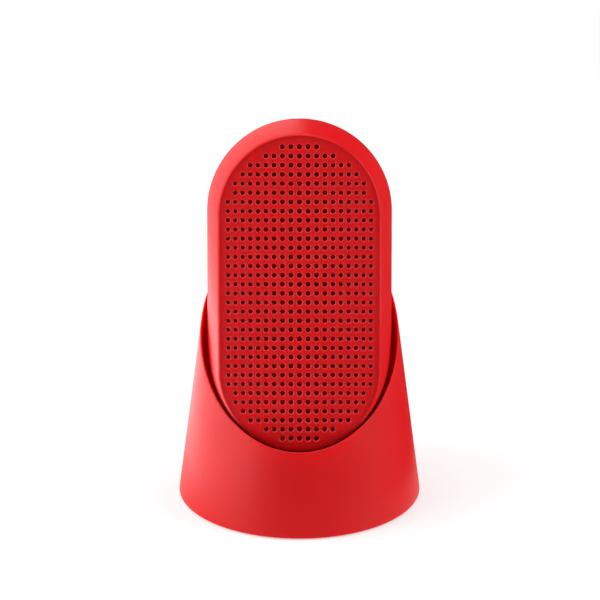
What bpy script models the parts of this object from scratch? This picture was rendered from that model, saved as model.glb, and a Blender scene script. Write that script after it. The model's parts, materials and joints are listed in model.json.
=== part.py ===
"""Pocket capsule speaker with a perforated front, leaning back in a conical desk stand.

Lengths are in metres and +Z is up. The origin is on the floor under the middle of the stand, and
the speaker looks towards -Y. The speaker's pieces are placed in the speaker's own frame, with X
across, Y into the body from the flat front, and Z up along the front.
"""
import math

import bmesh
import bpy
import numpy as np
from mathutils import Matrix

MM = 0.001
FIT = 0.3 * MM
WELD_DISTANCE = 0.005 * MM

# Speaker body: three capsule outlines, at the flat front, at the widest belt and at the flat back
FACE_RADIUS = 21.5 * MM
FACE_STRAIGHT = 20.9 * MM
BELT_RADIUS = 24.8 * MM
BELT_STRAIGHT = 19.8 * MM
BELT_DEPTH = 17.0 * MM
BACK_RADIUS = 12.5 * MM
BACK_STRAIGHT = 21.5 * MM
BODY_DEPTH = 29.8 * MM
EDGE_ROUND = 0.7 * MM
EDGE_GROWTH = 0.5 * MM
WALL_BULGE = 0.2 * MM
SHELL_WALL = 2.0 * MM
BACK_WALL = 1.6 * MM
SEAM_GAP = 0.4 * MM
SEAM_LAND = 0.7 * MM
SEAL_REBATE = 0.8 * MM

# Perforated front panel
FACE_LIP = 0.8 * MM
GRILLE_THICKNESS = 1.2 * MM
CLOTH_THICKNESS = 0.3 * MM
HOLE_ROW_PITCH = 2.45 * MM
HOLE_COLUMN_PITCH = 2.285 * MM
HOLE_COLUMN_CREEP = 0.045 * MM
HOLE_RADIUS = 0.67 * MM
HOLE_RADIUS_LOSS = 0.0165 * MM
HOLE_EDGE_MARGIN = 2.0 * MM
HOLE_END_MARGIN = 0.5 * MM

# Lean of the speaker and its place in the stand
TILT = math.radians(13.0)
FACE_Y = -15.4 * MM
SPEAKER_CLEARANCE = 0.46 * MM

# Stand
CONE_TAPER = 0.1293
RIM_HEIGHT = 49.9 * MM
RIM_SLOPE = 0.859
STAND_WALL = 1.3 * MM
RIM_LAND = 0.45 * MM
RIM_THINNING = 3.5 * MM
FOOT_PAD_THICKNESS = 0.4 * MM
FOOT_PAD_INSET = 2.2 * MM
BASE_PLATE_THICKNESS = 2.0 * MM
BALLAST_THICKNESS = 8.5 * MM
BALLAST_CLEARANCE = 0.8 * MM
STAND_BOSS_RADIUS = 2.9 * MM
STAND_BOSS_EMBED = 0.7 * MM
CRADLE_FLOOR = 2.45 * MM
CRADLE_RIM_DROP = 3.3 * MM
POCKET_CLEARANCE = 0.5 * MM
SEAT_PAD_THICKNESS = 1.4 * MM
SEAT_PAD_RISE = 1.0 * MM
SEAT_PAD_WIDTH = 16.0 * MM
SEAT_PAD_LENGTH = 8.0 * MM

# Screws: head radius, head height, shank radius and drive recess
CASE_HEAD_RADIUS = 1.6 * MM
CASE_HEAD_HEIGHT = 1.2 * MM
CASE_SHANK_RADIUS = 0.8 * MM
SMALL_HEAD_RADIUS = 1.3 * MM
SMALL_HEAD_HEIGHT = 0.8 * MM
SMALL_SHANK_RADIUS = 0.6 * MM
BASE_HEAD_RADIUS = 2.0 * MM
BASE_HEAD_HEIGHT = 0.9 * MM
BASE_SHANK_RADIUS = 1.0 * MM
DRIVE_SHARE = 0.45
DRIVE_DEPTH_SHARE = 0.6
BOSS_TIP_COVER = 1.2 * MM

# Baffle and the four posts that hold the case together
BAFFLE_THICKNESS = 2.0 * MM
POST_RADIUS = 3.0 * MM
POST_EMBED = 0.3 * MM
POST_ANGLE = math.radians(50.0)
POST_END_WALL = 1.4 * MM

# Driver
FLANGE_THICKNESS = 1.1 * MM
FLANGE_SIDE_ROOM = 2.8 * MM
FLANGE_WIDTH = 2.9 * MM
DRIVER_DROP = 4.9 * MM
GASKET_THICKNESS = 0.5 * MM
SURROUND_LIP = 0.8 * MM
SURROUND_ROLL = 1.3 * MM
SURROUND_THICKNESS = 0.4 * MM
BASKET_SHELF = 0.6 * MM
BASKET_WALL = 1.0 * MM
BASKET_DEPTH = 7.4 * MM
SPIDER_DEPTH = 4.6 * MM
SPIDER_WAVE = 0.3 * MM
SPIDER_THICKNESS = 0.35 * MM
CONE_DEPTH = 2.5 * MM
CONE_THICKNESS = 0.4 * MM
COIL_RADIUS = 6.1 * MM
COIL_WALL = 0.5 * MM
COIL_GAP = 0.4 * MM
COIL_LENGTH = 6.6 * MM
DUST_CAP_OVERLAP = 1.3 * MM
DUST_CAP_RISE = 1.7 * MM
DUST_CAP_THICKNESS = 0.3 * MM
PLATE_THICKNESS = 1.5 * MM
PLATE_RADIUS = 10.8 * MM
MAGNET_THICKNESS = 3.4 * MM
MAGNET_RADIUS = 11.5 * MM
MAGNET_HOLE = 7.4 * MM
TERMINAL_WIDTH = 6.0 * MM
TERMINAL_HEIGHT = 1.2 * MM
TERMINAL_LENGTH = 2.0 * MM
DRIVER_SCREW_ANGLE = math.radians(45.0)

# Battery
BATTERY_WIDTH = 28.0 * MM
BATTERY_THICKNESS = 6.5 * MM
BATTERY_PAD_THICKNESS = 0.9 * MM
BATTERY_PAD_INSET = 3.0 * MM
BATTERY_ROOM = 0.7 * MM
BATTERY_EDGE = 1.6 * MM

# Circuit board and what it carries
BOARD_THICKNESS = 1.0 * MM
BOARD_STANDOFF = 4.2 * MM
BOARD_BEHIND_YOKE = 0.7 * MM
BOARD_HALF_WIDTH = 12.5 * MM
BOARD_LOW = 7.5 * MM
BOARD_SHOULDER = 28.5 * MM
BOARD_HIGH = 35.2 * MM
BOARD_POST_ROOM = 0.6 * MM
BOARD_SCREW_INSET = 2.0 * MM
BOARD_POST_RADIUS = 1.9 * MM
BOARD_POST_EMBED = 0.4 * MM
SOCKET_V = 29.5 * MM
SOCKET_RADIUS = 1.7 * MM
SOCKET_STRAIGHT = 2.9 * MM
SOCKET_WALL = 0.35 * MM
SOCKET_FLOOR = 1.0 * MM
LIGHT_V = 24.6 * MM
LED_SIDE = 1.6 * MM
LED_HEIGHT = 0.7 * MM
PIPE_RADIUS = 0.9 * MM
PIPE_COLLAR = 0.6 * MM
BUTTON_V = 19.4 * MM
BUTTON_SPACING = 8.0 * MM
BUTTON_RADIUS = 2.6 * MM
BUTTON_FLANGE = 0.8 * MM
BUTTON_FLANGE_THICKNESS = 0.5 * MM
BUTTON_PROUD = 0.6 * MM
BUTTON_EDGE = 0.3 * MM
BUTTON_STEM_RADIUS = 1.2 * MM
BUTTON_TRAVEL = 0.5 * MM
SWITCH_SIDE = 4.5 * MM
SWITCH_HEIGHT = 1.2 * MM
PLUNGER_HEIGHT = 0.4 * MM
PLUNGER_RADIUS = 1.0 * MM
CONNECTOR_V = 14.0 * MM
CONNECTOR_X = 7.4 * MM
CONNECTOR_SIZE = (4.4 * MM, 2.2 * MM, 4.0 * MM)
RADIO_V = 12.4 * MM
RADIO_SIZE = (9.0 * MM, 1.6 * MM, 6.4 * MM)
LEAD_RADIUS = 0.5 * MM
LEAD_END_GAP = 0.4 * MM

# Facets of round shapes
ARC_STEPS = 18
CONE_STEPS = 60
ROUND_STEPS = 16
POST_STEPS = 10
SCREW_STEPS = 6
SLOT_STEPS = 6
REAR_STEPS = 6
ROLL_STEPS = 4
SAMPLE_STEPS = 90
FIT_ROUNDS = 20

# Finishes: colour, roughness and metallic value
RED_PLASTIC = ((0.63, 0.010, 0.014), 0.5, 0.0)
DARK_PLASTIC = ((0.02, 0.02, 0.022), 0.5, 0.0)
BLACK_CLOTH = ((0.03, 0.004, 0.005), 0.9, 0.0)
BLACK_RUBBER = ((0.025, 0.025, 0.025), 0.8, 0.0)
PAPER = ((0.06, 0.06, 0.065), 0.85, 0.0)
STEEL = ((0.56, 0.56, 0.58), 0.35, 1.0)
FERRITE = ((0.05, 0.05, 0.055), 0.6, 0.0)
COPPER = ((0.75, 0.32, 0.12), 0.35, 1.0)
CELL_WRAP = ((0.05, 0.16, 0.42), 0.4, 0.0)
FOAM = ((0.12, 0.12, 0.12), 0.95, 0.0)
BOARD_GREEN = ((0.01, 0.12, 0.05), 0.4, 0.0)
TIN = ((0.7, 0.7, 0.7), 0.3, 1.0)
CLEAR = ((0.9, 0.9, 0.9), 0.1, 0.0)


# Scene set-up
for old in list(bpy.data.objects):
    bpy.data.objects.remove(old, do_unlink=True)
PARTS = bpy.data.collections.new("capsule_speaker")
CUTTERS = bpy.data.collections.new("cutters")
bpy.context.scene.collection.children.link(PARTS)
bpy.context.scene.collection.children.link(CUTTERS)


def empty(name, parent=None, location=(0, 0, 0), rotation=(0, 0, 0)):
    """A frame that pieces are parented to."""
    frame = bpy.data.objects.new(name, None)
    PARTS.objects.link(frame)
    frame.parent = parent
    frame.location = location
    frame.rotation_euler = rotation
    return frame


def set_finish(obj, finish):
    """Give an object its own Principled material."""
    colour, roughness, metallic = finish
    material = bpy.data.materials.new(obj.name + "_finish")
    material.use_nodes = True
    shader = material.node_tree.nodes["Principled BSDF"]
    shader.inputs["Base Color"].default_value = (*colour, 1.0)
    shader.inputs["Roughness"].default_value = roughness
    shader.inputs["Metallic"].default_value = metallic
    obj.data.materials.append(material)


def add_part(name, mesh, finish, parent=None, location=(0, 0, 0), rotation=(0, 0, 0)):
    """A named piece of the object."""
    mesh.shade_smooth()
    mesh.set_sharp_from_angle(angle=math.radians(30))
    part = bpy.data.objects.new(name, mesh)
    PARTS.objects.link(part)
    part.parent = parent
    part.location = location
    part.rotation_euler = rotation
    set_finish(part, finish)
    return part


def add_cutter(name, mesh, parent=None):
    """A shape that only cuts or joins other pieces."""
    cutter = bpy.data.objects.new(name, mesh)
    CUTTERS.objects.link(cutter)
    cutter.parent = parent
    cutter.hide_render = True
    cutter.display_type = "WIRE"
    return cutter


def boolean(part, operation, cutter):
    """Join a shape to a piece, or cut it from the piece."""
    modifier = part.modifiers.new(cutter.name, "BOOLEAN")
    modifier.operation = operation
    modifier.solver = "EXACT"
    modifier.object = cutter


def mesh_from(name, bm):
    """Turn a bmesh into mesh data with its faces outwards."""
    bmesh.ops.recalc_face_normals(bm, faces=bm.faces)
    mesh = bpy.data.meshes.new(name)
    bm.to_mesh(mesh)
    bm.free()
    return mesh


def loft(name, rings, capped):
    """Skin through rings of equal point counts; capped at both ends, or closed back on itself."""
    bm = bmesh.new()
    loops = [[bm.verts.new(point) for point in ring] for ring in rings]
    pairs = list(zip(loops, loops[1:]))
    if capped:
        bm.faces.new(loops[0])
        bm.faces.new(loops[-1])
    else:
        pairs.append((loops[-1], loops[0]))
    count = len(rings[0])
    for near, far in pairs:
        for i in range(count):
            j = (i + 1) % count
            bm.faces.new((near[i], near[j], far[j], far[i]))
    return mesh_from(name, bm)


def capsule(radius, straight, depth, steps=ARC_STEPS):
    """An upright capsule outline in the plane at one depth: two half circles and two sides."""
    points = []
    for side in (1, -1):
        for step in range(steps + 1):
            angle = math.pi * step / steps
            x = side * radius * math.cos(angle)
            v = side * (straight + radius * math.sin(angle))
            points.append((x, depth, v))
    return points


def turned(name, profile, finish, parent, location=(0, 0, 0), steps=ROUND_STEPS, closed=True, up=False):
    """A turned piece: (radius, depth) points down the outer side from the front, and back inside."""
    bm = bmesh.new()
    verts = [bm.verts.new((radius, 0, -depth)) for radius, depth in profile]
    ends = verts[1:] + ([verts[0]] if closed else [])
    for start, end in zip(verts, ends):
        bm.edges.new((start, end))
    mesh = bpy.data.meshes.new(name)
    bm.to_mesh(mesh)
    bm.free()
    rotation = (math.pi, 0, 0) if up else (math.pi / 2, 0, 0)
    part = add_part(name, mesh, finish, parent, location, rotation)
    screw = part.modifiers.new("turn", "SCREW")
    screw.axis = "Z"
    screw.steps = steps
    screw.render_steps = steps
    screw.use_merge_vertices = True
    screw.merge_threshold = WELD_DISTANCE
    screw.use_smooth_shade = True
    return part


def cylinders(name, places, radius, start, end, parent=None):
    """Round bars along depth at several (x, v) places, as one cutter."""
    bm = bmesh.new()
    for x, v in places:
        place = Matrix.Translation((x, (start + end) / 2, v)) @ Matrix.Rotation(math.pi / 2, 4, "X")
        bmesh.ops.create_cone(
            bm, cap_ends=True, segments=POST_STEPS, radius1=radius, radius2=radius,
            depth=end - start, matrix=place)
    return add_cutter(name, mesh_from(name, bm), parent)


def uprights(name, places, radius, low, high):
    """Round bars along Z at several (x, y) places, as one cutter."""
    bm = bmesh.new()
    for x, y in places:
        bmesh.ops.create_cone(
            bm, cap_ends=True, segments=POST_STEPS, radius1=radius, radius2=radius,
            depth=high - low, matrix=Matrix.Translation((x, y, (low + high) / 2)))
    return add_cutter(name, mesh_from(name, bm))


def block_mesh(name, size):
    """A box about its own middle."""
    bm = bmesh.new()
    bmesh.ops.create_cube(bm, size=1.0, matrix=Matrix.Diagonal((*size, 1.0)))
    return mesh_from(name, bm)


def block(name, size, finish, parent, location):
    """A box-shaped piece."""
    return add_part(name, block_mesh(name, size), finish, parent, location)


def disc(name, radius_low, radius_high, low, high, finish, steps=CONE_STEPS):
    """A round plate about the stand's axis, straight or tapered."""
    bm = bmesh.new()
    bmesh.ops.create_cone(
        bm, cap_ends=True, segments=steps, radius1=radius_low, radius2=radius_high,
        depth=high - low, matrix=Matrix.Translation((0, 0, (low + high) / 2)))
    return add_part(name, mesh_from(name, bm), finish)


def circle(x, v, radius, steps):
    """Points of a round hole's outline."""
    angles = [2 * math.pi * (step + 0.5) / steps for step in range(steps)]
    return [(x + radius * math.cos(a), v + radius * math.sin(a)) for a in angles]


def flat_plate(name, outlines, start, end, finish, parent):
    """A plate from a filled flat curve; outlines after the first are holes."""
    curve = bpy.data.curves.new(name, "CURVE")
    curve.dimensions = "2D"
    curve.fill_mode = "BOTH"
    curve.extrude = (end - start) / 2
    for outline in outlines:
        spline = curve.splines.new("POLY")
        spline.points.add(len(outline) - 1)
        for point, (x, v) in zip(spline.points, outline):
            point.co = (x, v, 0, 1)
        spline.use_cyclic_u = True
    sketch = bpy.data.objects.new(name + "_sketch", curve)
    PARTS.objects.link(sketch)
    graph = bpy.context.evaluated_depsgraph_get()
    mesh = bpy.data.meshes.new_from_object(sketch.evaluated_get(graph))
    bpy.data.objects.remove(sketch, do_unlink=True)
    bm = bmesh.new()
    bm.from_mesh(mesh)
    bmesh.ops.remove_doubles(bm, verts=bm.verts, dist=WELD_DISTANCE)
    bpy.data.meshes.remove(mesh)
    plate = mesh_from(name, bm)
    return add_part(name, plate, finish, parent, (0, (start + end) / 2, 0), (math.pi / 2, 0, 0))


def screw_profile(head_radius, head_height, shank_radius, length):
    """Half section of a screw, head first, with a round drive recess."""
    drive = head_radius * DRIVE_SHARE
    recess = head_height * DRIVE_DEPTH_SHARE
    return [
        (0, recess), (drive, recess), (drive, 0), (head_radius, 0), (head_radius, head_height),
        (shank_radius, head_height), (shank_radius, length), (0, length)]


# Shape of the speaker's outside
def body_radius(depth):
    """Radius of the outside capsule at a depth behind the flat front."""
    wall_start = FACE_RADIUS + EDGE_GROWTH
    if depth < EDGE_ROUND:
        rest = 1 - max(depth, 0) / EDGE_ROUND
        return FACE_RADIUS + EDGE_GROWTH * math.sqrt(1 - rest * rest)
    if depth < BELT_DEPTH:
        share = (depth - EDGE_ROUND) / (BELT_DEPTH - EDGE_ROUND)
        bulge = WALL_BULGE * 4 * share * (1 - share)
        return wall_start + (BELT_RADIUS - wall_start) * share + bulge
    share = min((depth - BELT_DEPTH) / (BODY_DEPTH - BELT_DEPTH), 1)
    return BACK_RADIUS + (BELT_RADIUS - BACK_RADIUS) * math.sqrt(1 - share * share)


def body_straight(depth):
    """Half length of the outside capsule's straight sides at a depth."""
    if depth < BELT_DEPTH:
        return FACE_STRAIGHT + (BELT_STRAIGHT - FACE_STRAIGHT) * max(depth, 0) / BELT_DEPTH
    share = min((depth - BELT_DEPTH) / (BODY_DEPTH - BELT_DEPTH), 1)
    return BACK_STRAIGHT + (BELT_STRAIGHT - BACK_STRAIGHT) * math.sqrt(1 - share * share)


def section(depth, inset=0.0):
    """The outside capsule at a depth, drawn in by an inset."""
    return capsule(body_radius(depth) - inset, body_straight(depth), depth)


def rear_depths(start, end, count):
    """Depths that divide the rounded back evenly by angle, from one depth to another."""
    span = BODY_DEPTH - BELT_DEPTH
    low = math.asin((start - BELT_DEPTH) / span)
    high = math.asin((end - BELT_DEPTH) / span)
    angles = [low + (high - low) * step / count for step in range(count + 1)]
    return [BELT_DEPTH + span * math.sin(angle) for angle in angles]


EDGE_DEPTHS = [0, EDGE_ROUND * (1 - math.sqrt(0.5)), EDGE_ROUND]
FRONT_END = BELT_DEPTH - SEAM_GAP / 2
REAR_START = BELT_DEPTH + SEAM_GAP / 2
WALL_DEPTHS = [EDGE_ROUND + (FRONT_END - EDGE_ROUND) * share for share in (1 / 3, 2 / 3, 1)]
OUTSIDE_DEPTHS = EDGE_DEPTHS + WALL_DEPTHS[:2] + rear_depths(BELT_DEPTH, BODY_DEPTH, REAR_STEPS)


def outside_mesh(name, growth, front_reach):
    """The speaker's whole outside, grown all round and drawn out in front."""
    rings = [capsule(FACE_RADIUS + growth, FACE_STRAIGHT, -front_reach)]
    rings += [section(depth, -growth) for depth in OUTSIDE_DEPTHS]
    rings.append(capsule(BACK_RADIUS + growth, BACK_STRAIGHT, BODY_DEPTH + growth))
    return loft(name, rings, True)


# Stack of heights in the stand, from the floor up
PLATE_LOW = FOOT_PAD_THICKNESS + FIT
PLATE_HIGH = PLATE_LOW + BASE_PLATE_THICKNESS
BALLAST_LOW = PLATE_HIGH + FIT
BALLAST_HIGH = BALLAST_LOW + BALLAST_THICKNESS
CRADLE_LOW = BALLAST_HIGH + FIT
PAD_LOW = CRADLE_LOW + CRADLE_FLOOR + FIT
SEAT_HEIGHT = PAD_LOW + SEAT_PAD_THICKNESS + FIT

# The speaker stands with the lowest point of its outside at the seat height
SAMPLE_DEPTHS = [BODY_DEPTH * step / SAMPLE_STEPS for step in range(SAMPLE_STEPS + 1)]
OUTSIDE = np.array([
    point for depth in SAMPLE_DEPTHS
    for point in capsule(body_radius(depth), body_straight(depth), depth, SAMPLE_STEPS)])
DROP = OUTSIDE[:, 2] * math.cos(TILT) - OUTSIDE[:, 1] * math.sin(TILT)
LOWEST = OUTSIDE[np.argmin(DROP)]
FACE_Z = SEAT_HEIGHT - DROP.min()
SEAT_Y = FACE_Y + LOWEST[1] * math.cos(TILT) + LOWEST[2] * math.sin(TILT)


def rim_height_at(angle, base_radius):
    """Height where the slanted cut crosses the cone's outside, at an angle about the axis."""
    lean = np.sin(angle)
    return (RIM_HEIGHT + RIM_SLOPE * base_radius * lean) / (1 + RIM_SLOPE * CONE_TAPER * lean)


def fitted_base_radius():
    """Base radius of the cone whose wall just clears the speaker everywhere under the rim."""
    y = FACE_Y + OUTSIDE[:, 1] * math.cos(TILT) + OUTSIDE[:, 2] * math.sin(TILT)
    z = FACE_Z + DROP
    reach = np.hypot(OUTSIDE[:, 0], y)
    angle = np.arctan2(y, OUTSIDE[:, 0])
    radius = BELT_RADIUS + CONE_TAPER * RIM_HEIGHT
    for _ in range(FIT_ROUNDS):
        under = rim_height_at(angle, radius) - z
        wall = RIM_LAND + (STAND_WALL - RIM_LAND) * np.clip(under / RIM_THINNING, 0, 1)
        needed = reach + wall + SPEAKER_CLEARANCE + CONE_TAPER * z
        radius = needed[under > 0].max()
    return radius


BASE_RADIUS = fitted_base_radius()


def cone_radius(height):
    """Outside radius of the stand at a height."""
    return BASE_RADIUS - CONE_TAPER * height


STAND_BOSS_CIRCLE = cone_radius(BALLAST_HIGH) - STAND_WALL + STAND_BOSS_EMBED - STAND_BOSS_RADIUS
BOSS_ANGLES = [math.radians(90 + 120 * step) for step in range(3)]
BOSS_PLACES = [(STAND_BOSS_CIRCLE * math.cos(a), STAND_BOSS_CIRCLE * math.sin(a)) for a in BOSS_ANGLES]
SPEAKER = empty("speaker_frame", None, (0, FACE_Y, FACE_Z), (-TILT, 0, 0))


# Stand pieces
def make_stand_shell():
    """Hollow cone with a slanted, thinned rim and three screw bosses."""
    angles = np.array([2 * math.pi * step / CONE_STEPS for step in range(CONE_STEPS)])
    rim = rim_height_at(angles, BASE_RADIUS)

    def ring(heights, inset):
        radius = cone_radius(heights) - inset
        return list(zip(radius * np.cos(angles), radius * np.sin(angles), heights))

    foot = np.full(CONE_STEPS, FOOT_PAD_THICKNESS)
    rings = [
        ring(foot, 0), ring(rim, 0), ring(rim, RIM_LAND), ring(rim - RIM_THINNING, STAND_WALL),
        ring(foot, STAND_WALL)]
    shell = add_part("stand_shell", loft("stand_shell", rings, False), RED_PLASTIC)
    bosses = uprights("stand_bosses", BOSS_PLACES, STAND_BOSS_RADIUS, BALLAST_LOW, BALLAST_HIGH)
    pilot_top = BALLAST_HIGH - BOSS_TIP_COVER
    pilots = uprights("stand_pilots", BOSS_PLACES, BASE_SHANK_RADIUS + FIT, PLATE_LOW, pilot_top)
    boolean(shell, "UNION", bosses)
    boolean(shell, "DIFFERENCE", pilots)


def make_base():
    """Foot pad, base plate, ballast and the screws that close the stand."""
    disc("foot_pad", BASE_RADIUS - FOOT_PAD_INSET, BASE_RADIUS - FOOT_PAD_INSET, 0,
         FOOT_PAD_THICKNESS, BLACK_RUBBER)
    plate_radius = cone_radius(PLATE_HIGH) - STAND_WALL - FIT
    plate = disc("base_plate", plate_radius, plate_radius, PLATE_LOW, PLATE_HIGH, DARK_PLASTIC)
    head_low = PLATE_LOW + FIT / 2
    well_top = head_low + BASE_HEAD_HEIGHT + FIT
    over = PLATE_HIGH + BASE_PLATE_THICKNESS
    holes = uprights("plate_holes", BOSS_PLACES, BASE_SHANK_RADIUS + FIT, 0, over)
    wells = uprights("plate_wells", BOSS_PLACES, BASE_HEAD_RADIUS + FIT, 0, well_top)
    boolean(plate, "DIFFERENCE", holes)
    boolean(plate, "DIFFERENCE", wells)
    ballast_radius = STAND_BOSS_CIRCLE - STAND_BOSS_RADIUS - BALLAST_CLEARANCE
    disc("ballast", ballast_radius, ballast_radius, BALLAST_LOW, BALLAST_HIGH, STEEL)
    length = BALLAST_HIGH - BOSS_TIP_COVER - FIT - head_low
    profile = screw_profile(BASE_HEAD_RADIUS, BASE_HEAD_HEIGHT, BASE_SHANK_RADIUS, length)
    for number, (x, y) in enumerate(BOSS_PLACES, 1):
        turned(f"base_screw_{number}", profile, STEEL, None, (x, y, head_low), SCREW_STEPS, False, True)


def make_cradle():
    """Tray with the speaker's pocket, and the soft pad under the speaker."""
    front_rim = rim_height_at(-math.pi / 2, BASE_RADIUS)
    top = front_rim - CRADLE_RIM_DROP
    inset = STAND_WALL + FIT
    cradle = disc("cradle", cone_radius(CRADLE_LOW) - inset, cone_radius(top) - inset, CRADLE_LOW,
                  top, RED_PLASTIC)
    pocket = add_cutter("pocket", outside_mesh("pocket", POCKET_CLEARANCE, BASE_RADIUS), SPEAKER)
    boolean(cradle, "DIFFERENCE", pocket)
    pad_height = SEAT_HEIGHT + SEAT_PAD_RISE - PAD_LOW
    recess_size = (SEAT_PAD_WIDTH + 2 * FIT, SEAT_PAD_LENGTH + 2 * FIT, 2 * (pad_height + FIT))
    recess = add_cutter("pad_recess", block_mesh("pad_recess", recess_size))
    recess.location = (0, SEAT_Y, PAD_LOW + pad_height)
    boolean(cradle, "DIFFERENCE", recess)
    pad = block("seat_pad", (SEAT_PAD_WIDTH, SEAT_PAD_LENGTH, pad_height), BLACK_RUBBER, None,
                (0, SEAT_Y, PAD_LOW + pad_height / 2))
    seat = add_cutter("seat_shape", outside_mesh("seat_shape", FIT, BASE_RADIUS), SPEAKER)
    boolean(pad, "DIFFERENCE", seat)


# Depths inside the speaker, from the back wall forwards: board, yoke, magnet, top plate and basket
BACK_INSIDE = BODY_DEPTH - BACK_WALL
BOARD_END = BACK_INSIDE - BOARD_STANDOFF
BOARD_START = BOARD_END - BOARD_THICKNESS
YOKE_END = BOARD_START - BOARD_BEHIND_YOKE
YOKE_START = YOKE_END - PLATE_THICKNESS
MAGNET_END = YOKE_START - FIT
MAGNET_START = MAGNET_END - MAGNET_THICKNESS
PLATE_END = MAGNET_START - FIT
PLATE_START = PLATE_END - PLATE_THICKNESS
BASKET_BACK = PLATE_START - FIT
FLANGE_DEPTH = BASKET_BACK - BASKET_DEPTH

# Places inside the speaker
GRILLE_SEAT = GRILLE_THICKNESS + FIT
CLOTH_END = GRILLE_SEAT + CLOTH_THICKNESS
GASKET_START = FLANGE_DEPTH + FLANGE_THICKNESS + FIT
BAFFLE_START = GASKET_START + GASKET_THICKNESS + FIT
BAFFLE_END = BAFFLE_START + BAFFLE_THICKNESS
FLANGE_RADIUS = body_radius(FLANGE_DEPTH) - SHELL_WALL - FLANGE_SIDE_ROOM
DRIVER_V = FACE_STRAIGHT - DRIVER_DROP
POST_REACH = body_radius(BAFFLE_START) - SHELL_WALL + POST_EMBED - POST_RADIUS
POST_X = POST_REACH * math.sin(POST_ANGLE)
POST_V = body_straight(BAFFLE_START) + POST_REACH * math.cos(POST_ANGLE)
POST_PLACES = [(x, v) for v in (POST_V, -POST_V) for x in (-POST_X, POST_X)]
CASE_HOLE = CASE_SHANK_RADIUS + FIT


# Front of the case
def make_front_shell():
    """Capsule ring with a drafted wall, a round front edge and four posts."""
    inner_depths = [FRONT_END - SEAL_REBATE, (FRONT_END + GRILLE_SEAT) / 2, GRILLE_SEAT]
    opening = FACE_RADIUS - FACE_LIP
    rings = [section(depth) for depth in EDGE_DEPTHS + WALL_DEPTHS]
    rings.append(section(FRONT_END, SEAM_LAND))
    rings.append(capsule(body_radius(FRONT_END) - SEAM_LAND, body_straight(FRONT_END), inner_depths[0]))
    rings += [section(depth, SHELL_WALL) for depth in inner_depths]
    rings.append(capsule(opening, FACE_STRAIGHT, GRILLE_SEAT))
    rings.append(capsule(opening, FACE_STRAIGHT, 0))
    shell = add_part("front_shell", loft("front_shell", rings, False), RED_PLASTIC, SPEAKER)
    post_start = CLOTH_END + FIT
    post_end = BAFFLE_START - FIT
    posts = cylinders("front_posts", POST_PLACES, POST_RADIUS, post_start, post_end, SPEAKER)
    pilots = cylinders("front_pilots", POST_PLACES, CASE_HOLE, post_start + BOSS_TIP_COVER,
                       BAFFLE_END, SPEAKER)
    boolean(shell, "UNION", posts)
    boolean(shell, "DIFFERENCE", pilots)


def hole_places():
    """(x, v, radius) of each hole: a grid whose columns close up outwards, inside a capsule."""
    limit = FACE_RADIUS - HOLE_EDGE_MARGIN
    straight = FACE_STRAIGHT - HOLE_END_MARGIN
    rows = int((straight + limit) / HOLE_ROW_PITCH)
    columns = int(limit / (HOLE_COLUMN_PITCH / 2))
    places = []
    for row in range(-rows, rows + 1):
        v = row * HOLE_ROW_PITCH
        for column in range(-columns, columns + 1):
            count = abs(column)
            offset = count * HOLE_COLUMN_PITCH - HOLE_COLUMN_CREEP * count * (count - 1) / 2
            past_straight = max(abs(v) - straight, 0)
            if math.hypot(offset, past_straight) <= limit:
                radius = HOLE_RADIUS - HOLE_RADIUS_LOSS * count
                places.append((math.copysign(offset, column), v, radius))
    return places


def flat_capsule(radius, straight):
    """A capsule outline as (x, v) points."""
    return [(x, v) for x, _, v in capsule(radius, straight, 0)]


def make_grille():
    """Perforated panel, with square stand-ins of the same area for the round holes."""
    panel = flat_capsule(FACE_RADIUS - FACE_LIP - FIT, FACE_STRAIGHT)
    holes = [circle(x, v, radius * math.sqrt(math.pi / 2), 4) for x, v, radius in hole_places()]
    flat_plate("front_grille", [panel] + holes, 0, GRILLE_THICKNESS, RED_PLASTIC, SPEAKER)
    cloth = flat_capsule(body_radius(CLOTH_END) - SHELL_WALL - FIT, body_straight(CLOTH_END))
    flat_plate("acoustic_cloth", [cloth], GRILLE_SEAT, CLOTH_END, BLACK_CLOTH, SPEAKER)


# Driver
RECESS_RADIUS = FLANGE_RADIUS - FLANGE_WIDTH
SHELF_DEPTH = FLANGE_DEPTH + BASKET_SHELF
ROLL_OUT = RECESS_RADIUS - FIT - SURROUND_LIP
ROLL_IN = ROLL_OUT - 2 * SURROUND_ROLL
SPIDER_SHELF = SHELF_DEPTH + SPIDER_DEPTH
SPIDER_SEAT = RECESS_RADIUS - SURROUND_LIP - 3 * BASKET_WALL
TERMINAL_START = BAFFLE_END + FIT
CONE_NECK = COIL_RADIUS + FIT
NECK_DEPTH = SHELF_DEPTH + CONE_DEPTH
SCREW_CIRCLE = FLANGE_RADIUS - SMALL_HEAD_RADIUS - FIT / 2
DRIVER_SCREW_PLACES = [
    (SCREW_CIRCLE * math.cos(DRIVER_SCREW_ANGLE + quarter * math.pi / 2),
     SCREW_CIRCLE * math.sin(DRIVER_SCREW_ANGLE + quarter * math.pi / 2)) for quarter in range(4)]
DRIVER = empty("driver_axis", SPEAKER, (0, 0, DRIVER_V))


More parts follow.
